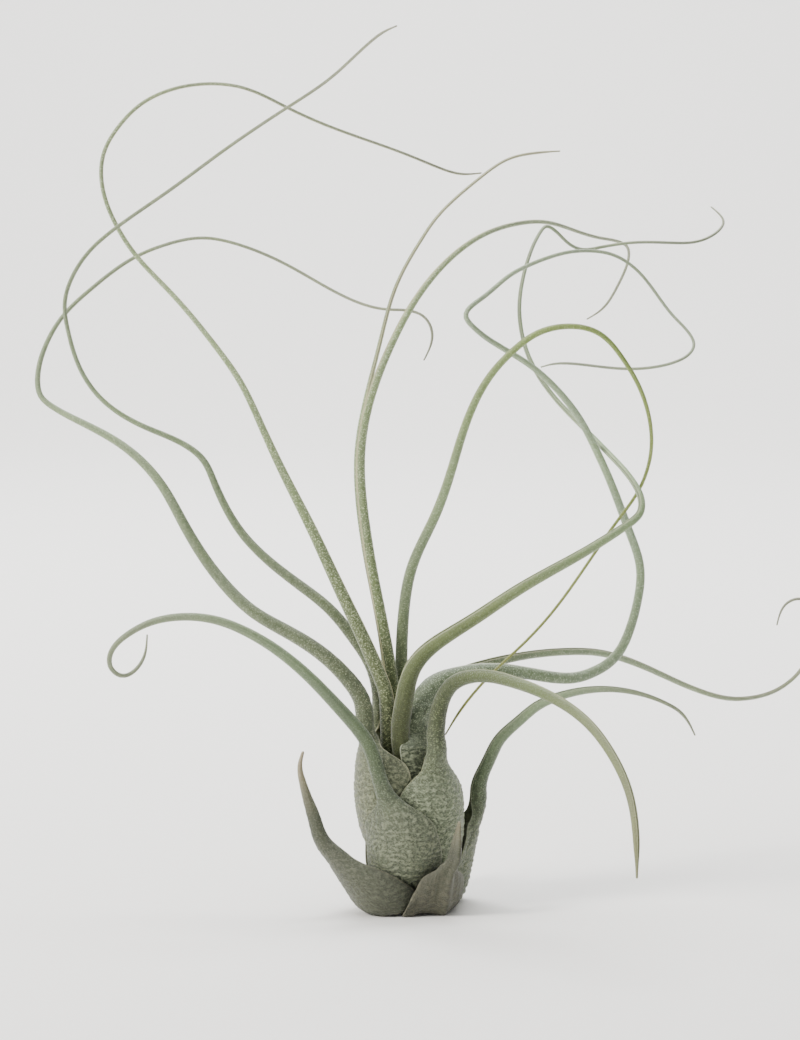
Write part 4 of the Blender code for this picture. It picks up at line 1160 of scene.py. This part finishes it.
@dataclass
class LeafPiece:
    """Builds one leaf's fine mesh and dresses it."""

    leaf: Leaf
    number: int
    wall: float = 1.1  # thickness of the sheath along its middle
    rim: float = 0.34  # thickness of its margins
    body: float = 1.72  # thickness of the blade behind its channel, as a share of its radius
    fullest: float = 1.88  # the most that this share can be
    thinnest: float = 0.75  # the least that the thickness can be, up to that share
    thin_blade: float = 0.75  # the radius below which a blade is divided more coarsely
    channel_bow: float = 0.1  # how much the channel's floor widens
    half_channel: float = math.radians(161)  # how far round the back the blade's outer side goes
    open_wrap: float = math.radians(80)  # the same while the sheath is still rolling up
    press_rings: int = 12
    ripple: float = 1.55  # how far apart the rows of scurf lie along the sheath
    young_neck: float = 30.0  # how far along a leaf without a sheath it leaves the bulb
    taper: float = 7.0  # how far before its tip a blade starts to taper
    narrowing: float = 0.4  # how much it tapers, as a share of its radius
    tip: float = 0.25  # how far the point is beyond the last section
    edge: float = 0.5  # width of the pale margin
    neck_age: float = 0.33  # how far along its colours a leaf is at the neck
    apart: float = 400.0  # what keeps one leaf's relief from repeating another's
    swelling: float = 0.16  # height of the sheath's soft unevenness
    keel_width: float = 0.16  # as a share of the leaf's half width
    finest: float = 1.2  # the radius below which a blade's relief gets lower

    def __post_init__(self) -> None:
        """Runs the leaf's middle line through its points and carries its back along it."""
        leaf = self.leaf
        self.curve = natural_spline(leaf.sheath + leaf.blade, 0.25)
        steps = np.linalg.norm(np.diff(self.curve, axis=0), axis=1)
        self.lengths = np.concatenate([[0], np.cumsum(steps)])
        self.turned, facing = 0, math.radians(leaf.facing)
        if leaf.sheath:
            self.turned = int(np.argmin(np.linalg.norm(self.curve - np.array(leaf.sheath[-1]), axis=1)))
            belly = leaf.sheath[len(leaf.sheath) // 2]
            facing = math.atan2(belly[1], belly[0])
        self.tangents = unit(np.gradient(self.curve, axis=0))
        around = np.array([-math.sin(facing), math.cos(facing), 0])
        backs: list[np.ndarray] = []
        for i, tangent in enumerate(self.tangents):
            carried = i > self.turned and backs
            back = backs[-1] - tangent * (backs[-1] @ tangent) if carried else np.cross(around, tangent)
            backs.append(unit(back))
        self.backs = np.array(backs)
        self.neck = self.lengths[self.turned]
        self.noise = Noise(40 + self.number)

    def sections(self, lengths: np.ndarray) -> Sections:
        """Cuts the leaf across.

        Args:
            lengths: how far along the leaf each cut is.

        Returns:
            The sections there.
        """
        leaf = self.leaf

        def read(values: np.ndarray) -> np.ndarray:
            """Vectors read along the middle line."""
            return np.stack([np.interp(lengths, self.lengths, values[:, k]) for k in range(3)], axis=1)

        back, tangent = unit(read(self.backs)), unit(read(self.tangents))
        side = np.cross(tangent, back)
        share = np.clip(lengths / max(self.neck, 1e-6), 0, 1) if leaf.sheath else np.ones_like(lengths)
        along = np.clip((lengths - self.neck) / (self.lengths[-1] - self.neck), 0, 1)
        radius = np.interp(along, *zip(*leaf.girth))
        turned = np.radians(through(along, leaf.twist))[:, None]
        c, s = np.cos(turned), np.sin(turned)
        to_tip = self.lengths[-1] - lengths
        radius = radius if leaf.old else radius * (1 - self.narrowing * ease(1 - to_tip / self.taper))
        back, side = back * c + side * s, side * c - back * s
        return Sections(read(self.curve), back, side, lengths, share, along, radius)

    def bulging(self, share: np.ndarray) -> tuple[np.ndarray, np.ndarray, np.ndarray]:
        """Works out how wide and how round the sheath is across.

        Args:
            share: places along the sheath, as shares of its length.

        Returns:
            Its half width in radians, its bulge and its rolled radius.
        """
        leaf = self.leaf
        foot, belly, shoulder = leaf.spread
        widths = ((0, foot), (BELLY_SHARE, belly), (NECK_SHARE, shoulder), (1, NECK_SPREAD))
        wide, neck_radius, roll = leaf.bulge, leaf.girth[0][1], leaf.roll
        bulge = through(share, ((0, wide * FOOT_BULGE), (roll / 2, wide), (1, wide * SHOULDER_BULGE)))
        narrowed = NARROWED_BY + roll * (1 - NARROWED_BY)
        radii = ((0, bulge), (roll, bulge), (narrowed, neck_radius * NECK_FLARE), (1, neck_radius))
        return np.radians(through(share, widths)), bulge, through(share, radii)

    def on_bulb(self, at: Sections, turn: np.ndarray, bulge: np.ndarray) -> Pair:
        """Lays the sheath on the bulb as a round patch whose margins hang below the belly.

        Args:
            at: the sections.
            turn: how far round from the keel each point is, in radians.
            bulge: the patch's radius across.

        Returns:
            The points of the outer side, and which way each faces at the sheath's foot.
        """
        x, y, z = (at.place[:, k, None] for k in range(3))
        keel_angle = np.arctan2(y, x)
        offset = np.hypot(x, y) - bulge
        reach = offset * np.cos(turn)
        reach = reach + np.sqrt(np.maximum(bulge**2 - (offset * np.sin(turn)) ** 2, 0.1))
        hang = np.maximum(BELLY_HEIGHT - z, 0) * MARGIN_HANG * ease(at.share[:, None] / HANGING_SHARE)
        angle = keel_angle + turn
        height = z + hang * (1 - np.cos(turn))
        level = at.back[:, :1] * np.cos(keel_angle) + at.back[:, 1:2] * np.sin(keel_angle)
        up = np.broadcast_to(at.back[:, 2:], angle.shape)
        at_foot = unit(np.stack([level * np.cos(angle), level * np.sin(angle), up], axis=-1))
        return np.stack([reach * np.cos(angle), reach * np.sin(angle), height], axis=-1), at_foot

    def sheath(self, at: Sections, t: np.ndarray) -> Pair:
        """The sheath: a patch of the bulb that rolls up towards the neck.

        Args:
            at: the sections.
            t: places across, from -1 at one margin to 1 at the other.

        Returns:
            The outer and the inner side.
        """
        roll, share = self.leaf.roll, at.share[:, None]
        spread, bulge, radius = (value[:, None] for value in self.bulging(at.share))
        half_rolled = (roll + 1) / 2
        alone = ease((share - roll) / (LEFT_BULB - roll))[..., None]
        closing = ease((share - half_rolled) / (ROLLED_UP - half_rolled))
        on_bulb, at_foot = self.on_bulb(at, spread * t, bulge)
        wrap = self.open_wrap * (1 - closing) + self.half_channel * closing
        back, side = at.back[:, None], at.side[:, None]
        arc = back * np.cos(wrap * t)[..., None] + side * np.sin(wrap * t)[..., None]
        middle = at.place[:, None] - back * (radius * (1 - closing))[..., None]
        outer = on_bulb * (1 - alone) + (middle + arc * radius[..., None]) * alone
        grown = ease(share / FOOT_SHARE)[..., None]
        out = at_foot * (1 - grown) + outward(outer)[1] * grown
        out = unit(out * (1 - alone) + arc * alone)
        at_neck = ease((share - NECK_SHARE) / (1 - NECK_SHARE))
        thick = self.wall + (radius * NECK_WALL - self.wall) * at_neck
        thick = self.rim + (thick - self.rim) * (1 - 0.45 * t**2 - 0.55 * t**8)
        return outer, outer - out * thick[..., None]

    def blade_sides(self, at: Sections, t: np.ndarray) -> Pair:
        """The blade: a rounded back, with a channel along its inner side.

        Args:
            at: the sections.
            t: places across, from -1 at one margin to 1 at the other.

        Returns:
            The outer and the inner side.
        """
        back, side, place = at.back[:, None], at.side[:, None], at.place[:, None]
        r = at.radius[:, None]
        angle = self.half_channel * t
        outer = place + back * (r * np.cos(angle))[..., None] + side * (r * np.sin(angle))[..., None]
        body = np.minimum(np.maximum(self.thinnest, r * self.body), r * self.fullest)
        mouth, width = r * math.cos(self.half_channel), r * math.sin(self.half_channel)
        width = width - np.minimum(self.rim, width * 0.4)
        turn = t * np.pi / 2
        sunk = mouth + (r - body - mouth) * np.cos(turn)
        across = width * np.sin(turn) * (1 + self.channel_bow * np.cos(turn))
        return outer, place + back * sunk[..., None] + side * across[..., None]

    def sides(self, at: Sections, t: np.ndarray, moves: np.ndarray | None) -> Pair:
        """Both sides of the leaf at some sections.

        Args:
            at: the sections.
            t: places across.
            moves: how the sheath was pressed outwards, or None.

        Returns:
            The outer and the inner side.
        """
        if at.share.min() >= 1:
            return self.blade_sides(at, t)
        outer, inner = self.sheath(at, t)
        if moves is not None:
            columns = (t + 1) / 2 * (moves.shape[1] - 1)
            move = resampled(moves, at.share * self.press_rings, columns)
            outer, inner = outer + move, inner + move
        rolled = ease((at.share - JOINING_SHARE) / (1 - JOINING_SHARE))[:, None, None]
        joined = Sections(**{**vars(at), "radius": self.bulging(at.share)[2]})
        return outer, inner * (1 - rolled) + self.blade_sides(joined, t)[1] * rolled

    def press_sections(self) -> Sections:
        """The coarse sections at which the sheath is pressed, up to the neck."""
        return self.sections(np.linspace(0, self.neck, self.press_rings + 1)[:-1])

    def press(self, bulb: Bulb) -> np.ndarray | None:
        """Presses the sheath out of the bulb.

        Args:
            bulb: what is inside this leaf.

        Returns:
            The moves of the sheath's coarse points, up to the neck, or None without a sheath.
        """
        if not self.leaf.sheath:
            return None
        across = COARSE_WEAVE.outer
        moves = np.zeros((self.press_rings + 1, across, 3))
        at = self.press_sections()
        inner = self.sheath(at, np.linspace(-1, 1, across))[1]
        held = at.share < min(self.leaf.pressed, 1)
        moves[:-1][held] = bulb.pressed(inner[held])
        return moves

    def ring(self, at: Sections, weave: Weave, moves: np.ndarray | None) -> np.ndarray:
        """Closes each section: outer side, margin, inner side, margin.

        Args:
            at: the sections.
            weave: how finely they are divided.
            moves: how the sheath was pressed outwards, or None.

        Returns:
            The points, with shape (sections, points around, 3).
        """
        wide, narrow = np.linspace(-1, 1, weave.outer), np.linspace(-1, 1, weave.inner)
        outer = self.sides(at, wide, moves)[0]
        inner = self.sides(at, narrow, moves)[1][:, ::-1]
        tangent = np.cross(at.back, at.side)
        turns = np.linspace(0, np.pi, weave.margin + 2)[1:-1, None]
        rims = []
        for last, before, first in (
            (outer[:, -1], outer[:, -3], inner[:, 0]),
            (outer[:, 0], outer[:, 2], inner[:, -1]),
        ):
            middle, arm = (last + first) / 2, (last - first) / 2
            bow = np.cross(tangent, arm)
            bow *= np.sign(np.einsum("ij,ij->i", bow, last - before))[:, None]
            rims.append(middle[:, None] + arm[:, None] * np.cos(turns) + bow[:, None] * np.sin(turns))
        loop = np.concatenate([outer, rims[0], inner, rims[1][:, ::-1]], axis=1)
        loop[..., 2] = np.maximum(loop[..., 2], 0.0)
        return loop

    def scurf_ridges(self, place: np.ndarray) -> np.ndarray:
        """Lays out the sheath's scurf: short ridges across it, in rows that drift.

        Args:
            place: places on the leaf laid out flat.

        Returns:
            How high the scurf is at each, from -1 to 1.
        """
        noise = self.noise
        bend = noise.at(place, BENDS)
        bent = place + np.stack([bend * 0.9, bend * 0.4, bend * 0], axis=-1)
        dashes = noise.at(bent, DASHES) + 0.5 * noise.at(bent, SHORT_DASHES)
        drift = 0.5 * noise.at(place, DRIFTS)
        rows = np.sin(2 * np.pi * (bent[..., 0] / self.ripple + drift))
        return 2 * ease(0.3 + 0.66 * dashes + 0.18 * rows) - 1

    def raised(
        self, loop: np.ndarray, place: np.ndarray, at: Sections, t: np.ndarray, inward: np.ndarray
    ) -> Pair:
        """Raises the relief: ridges of scurf on the sheath, scales on the blade, furrows if old.

        Args:
            loop: the sections' points.
            place: their places on the leaf laid out flat.
            at: the sections.
            t: places across.
            inward: how far each point is on the inner side.

        Returns:
            The raised points, and the relief from 0 to 1 at each.
        """
        leaf, noise = self.leaf, self.noise
        ridges = self.scurf_ridges(place)
        specks = noise.at(place, SPECKS) + 0.5 * noise.at(place, SMALL_SPECKS)
        on_blade = ease((at.share - 0.55) / 0.45)[:, None] * (0.7 + 0.3 * ease(at.along * 9))[:, None]
        past_neck = at.length - (self.neck if leaf.sheath else self.young_neck)
        speck = np.interp(past_neck, (0, 16, 90), (max(leaf.specks, 0.06), leaf.specks, leaf.specks * 0.5))
        height = leaf.ridges * ridges * (1 - on_blade) + speck[:, None] * specks * on_blade
        swell = self.swelling * noise.at(place, SWELLS)
        height = height + swell * (1 - ease(at.share / 0.9))[:, None]
        if leaf.wrinkles:
            furrows = noise.at(place, FURROWS) + 0.6 * noise.at(place, SHORT_FURROWS)
            height = height + leaf.wrinkles * furrows
        if leaf.keel:
            rib = leaf.keel * np.exp(-((t / self.keel_width) ** 2))
            height = height + rib * ease(at.share * 2.5)[:, None]
        calm = (1 - 0.75 * ease((np.abs(t) - 0.9) / 0.1)) * (1 - 0.6 * inward)
        reach = np.minimum(1, at.radius / self.finest)[:, None] if at.share.min() >= 1 else 1.0
        raised = loop + self.outer_normals(loop) * (height * calm * reach)[..., None]
        raised[..., 2] = np.maximum(raised[..., 2], 0.0)
        mixed = ridges * (1 - on_blade) + specks * on_blade
        return raised, np.clip(0.5 + 0.55 * mixed, 0, 1)

    def outer_normals(self, loop: np.ndarray) -> np.ndarray:
        """Works out which way the skin faces.

        Args:
            loop: the sections' points.

        Returns:
            A vector out of the leaf at each, one long.
        """
        across = np.roll(loop, -1, axis=1) - np.roll(loop, 1, axis=1)
        normal = np.cross(across, np.gradient(loop, axis=0))
        normal /= np.maximum(np.linalg.norm(normal, axis=-1, keepdims=True), 1e-9)
        arms = loop - loop.mean(axis=1, keepdims=True)
        return normal * np.sign(np.einsum("ijk,ijk->", normal[:, :5], arms[:, :5]))

    def stretches(self) -> list[tuple[Weave, np.ndarray]]:
        """Divides the leaf into stretches.

        Returns:
            Each stretch's fineness, with the places of its sections.
        """
        end, leaf = self.lengths[-1], self.leaf
        shares = np.linspace(0, 1, 200)
        thick = shares[np.interp(shares, *zip(*leaf.girth)) > self.thin_blade]
        thinned = self.neck + (thick[-1] if len(thick) else 0) * (end - self.neck)
        marks = [(SHEATH_WEAVE, 0.0, self.neck)] if leaf.sheath else []
        marks += [(BLADE_WEAVE, self.neck, thinned), (THIN_WEAVE, thinned, end)]
        made = []
        for weave, start, stop in marks:
            if stop - start > weave.step:
                count = math.ceil((stop - start) / weave.step)
                made.append((weave, start + (stop - start) * np.arange(count) / count))
        made[-1] = (made[-1][0], np.append(made[-1][1], end))
        return made

    def into_bulb(self, bulb: Bulb, moves: np.ndarray | None) -> None:
        """Adds the leaf's coarse form to the bulb, up to the bulb's mouth.

        Args:
            bulb: the bulb to add it to.
            moves: how the sheath was pressed outwards, or None.
        """
        lengths = np.arange(self.neck, self.lengths[-1], COARSE_WEAVE.step)
        low = self.sections(lengths).place[:, 2] < MOUTH_HEIGHT
        loops = [self.ring(self.press_sections(), COARSE_WEAVE, moves)] if self.leaf.sheath else []
        loops.append(self.ring(self.sections(lengths[: max(2, np.argmin(low) + 1)]), COARSE_WEAVE, None))
        loop = np.concatenate(loops)
        bulb.add(loop.reshape(-1, 3), band_faces(len(loop), loop.shape[1], 0))

    def build(self, bulb: Bulb) -> bpy.types.Object:
        """Makes the leaf's mesh.

        Args:
            bulb: what is inside this leaf, which the leaf is then added to.

        Returns:
            The finished piece.
        """
        moves = self.press(bulb)
        self.into_bulb(bulb, moves)
        shell = Shell()
        for weave, lengths in self.stretches():
            at = self.sections(lengths)
            loop, around = self.ring(at, weave, moves), weave.around()
            t, inward = np.interp(around, *zip(*ACROSS)), np.interp(around, *zip(*INWARD))
            outer = loop[:, : weave.outer]
            half = np.linalg.norm(np.diff(outer, axis=1), axis=2).sum(axis=1)[:, None] / 2
            flat = np.broadcast_to(inward * -0.5, loop.shape[:2])
            lengthwise = np.broadcast_to(at.length[:, None] + self.apart * self.number, flat.shape)
            place = np.stack([lengthwise, half * t, flat], -1)
            raised, relief = self.raised(loop, place, at, t, inward)
            age = self.neck_age * at.share + (1 - self.neck_age) * at.along
            shell.add(
                raised, around,
                leaf_place=place,
                leaf_age=np.broadcast_to(age[:, None], flat.shape),
                scurf_relief=relief,
                leaf_edge=np.clip(1 - (1 - np.abs(t)) * half / self.edge, 0, 1),
                # the inner side, where the channel is painted paler as painted light against its shadow
                leaf_channel=np.broadcast_to(inward, flat.shape),
            )
        shell.close(self.curve[-1] + self.tangents[-1] * self.tip)
        return shell.piece(self.leaf.name + "_fine")

    def dress(self, piece: bpy.types.Object) -> None:
        """Gives the piece its skin and lets it stand for its solid.

        Args:
            piece: the leaf's finished mesh.
        """
        leaf = self.leaf
        piece.data.materials.append(FINISHES[leaf.tone].material(f"{leaf.name}_skin"))
        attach(piece, "root")
        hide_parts(leaf.name)


@dataclass
class Stem:
    """The short woody stem under the bulb."""

    height: float = 15.0
    radius: float = 5.4
    lobes: int = 5
    lobe_depth: float = 0.04
    sides: int = 120
    rings: int = 90
    coarseness: int = 8  # one in so many points counts for the sheaths around the stem
    flake_step: float = 2.1  # how far apart the rows of flakes are
    flake_depth: float = 0.5
    profile: Stops = (  # (share of the radius, height) stops
        (0.93, 0.0), (1, 0.6), (1, 2.0), (0.92, 5.0), (0.8, 8.0), (0.6, 10.5), (0.42, 12.6), (0.2, 14.6),
    )

    def build(self, bulb: Bulb) -> bpy.types.Object:
        """Makes the stem and puts it in the bulb.

        Args:
            bulb: the bulb that it is the middle of.

        Returns:
            The finished piece.
        """
        radii, heights = zip(*self.profile)
        high = np.linspace(0, heights[-1], self.rings)[:, None]
        radius = self.radius * np.interp(high, heights, radii)
        angle = np.linspace(0, 2 * np.pi, self.sides + 1)[:-1]
        lobes = 1 + self.lobe_depth * np.sin(self.lobes * angle + high * 0.5)
        x, y = np.cos(angle) * radius * lobes, np.sin(angle) * radius * lobes
        place = np.stack([x, y, np.broadcast_to(high, x.shape)], axis=-1)
        coarse = place[:: self.coarseness, :: self.coarseness]
        bulb.add(coarse.reshape(-1, 3), band_faces(*coarse.shape[:2], 0))
        flat = np.stack([place[..., 2], place[..., 0], place[..., 1]], axis=-1)
        relief = self.flakes(flat)
        depth = (self.flake_depth * (relief - 1) * ease(high / 1.2))[..., None]
        shell = Shell()
        around = np.linspace(0, 4, self.sides + 1)[:-1]
        level = unit(place * np.array([1, 1, 0]))
        shell.add(place + level * depth, around, leaf_place=flat, scurf_relief=relief)
        shell.close(np.array([0, 0, self.height]))
        return shell.piece("stem_bark_fine")

    def flakes(self, flat: np.ndarray) -> np.ndarray:
        """Lays out the bark's flakes, in uneven rows.

        Args:
            flat: places on the stem, with the height first.

        Returns:
            How far each place stands out, from 0 to 1.
        """
        noise = Noise(7)
        flakes = noise.at(flat, CHIPS) + 0.5 * noise.at(flat, SMALL_CHIPS)
        row = flat[..., 0] / self.flake_step + 0.35 * noise.at(flat, UNEVEN_ROWS)
        steps = np.abs(np.mod(row, 1) - 0.5) * 2
        return np.clip(0.5 + 0.4 * flakes + 0.3 * (steps - 0.5), 0, 1)

    def dress(self, piece: bpy.types.Object) -> None:
        """Gives the stem its bark and lets it stand for its solid.

        Args:
            piece: the stem's finished mesh.
        """
        piece.data.materials.append(BarkFinish().material("stem_bark_skin"))
        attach(piece, "root")
        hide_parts("stem")


@dataclass(frozen=True)
class SoftLight:
    """One large soft light. Its places and its width are in metres, its power in watts."""

    name: str
    spot: Place
    aim: Place
    width: float
    power: float
    colour: Colour

    def hang(self) -> None:
        """Hangs the light and points it."""
        light = bpy.data.lights.new(self.name, "AREA")
        light.shape = "DISK"
        light.size = self.width
        light.energy = self.power
        light.color = self.colour
        made = placed(self.name, light)
        made.location = self.spot
        made.rotation_euler = (Vector(self.aim) - Vector(self.spot)).to_track_quat("-Z", "Y").to_euler()


PLANT = (0.0, 0.0, 0.07)
LIGHTS = (
    SoftLight("key", (-0.95, -0.4, 0.75), PLANT, 0.35, 19, (1.0, 0.97, 0.92)),
    SoftLight("rim", (-0.35, 0.75, 0.8), PLANT, 0.5, 5, (0.97, 0.99, 1.0)),
    SoftLight("sky", (0.05, -0.1, 1.1), PLANT, 1.0, 8.5, (1.0, 1.0, 0.97)),
    SoftLight("wall", (0.0, 0.7, 1.9), (0.0, 2.0, 0.6), 1.2, 90, (1.0, 1.0, 1.0)),
)


@dataclass
class Backdrop:
    """One sheet of pale paper: the floor, swept up into the wall behind. Its sizes are in metres."""

    front: float = -3.0
    near: float = 0.5  # the square around the plant
    foot: float = 1.3  # where the sweep starts
    bend: float = 0.8
    top: float = 3.2
    half: float = 4.0
    turns: int = 24

    def build(self) -> None:
        """Makes the sheet."""
        arc = np.linspace(0, np.pi / 2, self.turns)
        profile = [(self.front, 0.0), (-self.near, 0.0), (self.near, 0.0)]
        profile += [(self.foot + self.bend * math.sin(a), self.bend - self.bend * math.cos(a)) for a in arc]
        profile.append((self.foot + self.bend, self.top))
        columns = (-self.half, -self.near, self.near, self.half)
        points = [(x, y, z) for y, z in profile for x in columns]
        faces = []
        for row in range(len(profile) - 1):
            faces += [(4 * row + k, 4 * row + k + 1, 4 * row + k + 5, 4 * row + k + 4) for k in range(3)]
        mesh = bpy.data.meshes.new("backdrop")
        mesh.from_pydata(points, [], faces)
        mesh.shade_smooth()
        mesh.materials.append(PaperFinish().material("backdrop_paper"))
        made = placed("backdrop", mesh)


@dataclass
class Studio:
    """The camera, the soft lights and the pale floor."""

    distance: float = 700.0
    elevation: float = math.radians(6)
    target: Place = (-2.265, 0.0, 88.1)
    lens: float = 106.98
    air_colour: Colour = (0.96, 0.97, 1.0)
    air_light: float = 0.27

    def camera(self) -> None:
        """Puts the camera in front of the plant."""
        camera = bpy.data.cameras.new("camera")
        camera.lens = self.lens
        camera.sensor_width = 36
        camera.clip_end = 50
        made = placed("camera", camera)
        x, y, z = self.target
        level, rise = self.distance * math.cos(self.elevation), self.distance * math.sin(self.elevation)
        made.location = (x * MM, (y - level) * MM, (z + rise) * MM)
        made.rotation_euler = (math.pi / 2 - self.elevation, 0, 0)
        bpy.context.scene.camera = made

    def air(self) -> None:
        """Fills the room with even pale light."""
        world = bpy.data.worlds.new("air")
        world.use_nodes = True
        background = world.node_tree.nodes["Background"]
        background.inputs["Color"].default_value = (*self.air_colour, 1)
        background.inputs["Strength"].default_value = self.air_light
        bpy.context.scene.world = world

    def build(self) -> None:
        """Sets the whole studio up."""
        self.camera()
        Backdrop().build()
        self.air()
        for light in LIGHTS:
            light.hang()


def main() -> None:
    """Builds and dresses the stem and every leaf, from the innermost outwards."""
    logging.basicConfig(level=logging.INFO, format="%(name)s: %(message)s")
    Studio().build()
    bulb = Bulb()
    for maker in (Stem(), *(LeafPiece(leaf, number) for number, leaf in enumerate(LEAVES))):
        piece = maker.build(bulb)
        maker.dress(piece)
        LOG.info("%s has %d faces", piece.name, len(piece.data.polygons))
    bpy.context.view_layer.update()


if __name__ == "__main__":
    main()
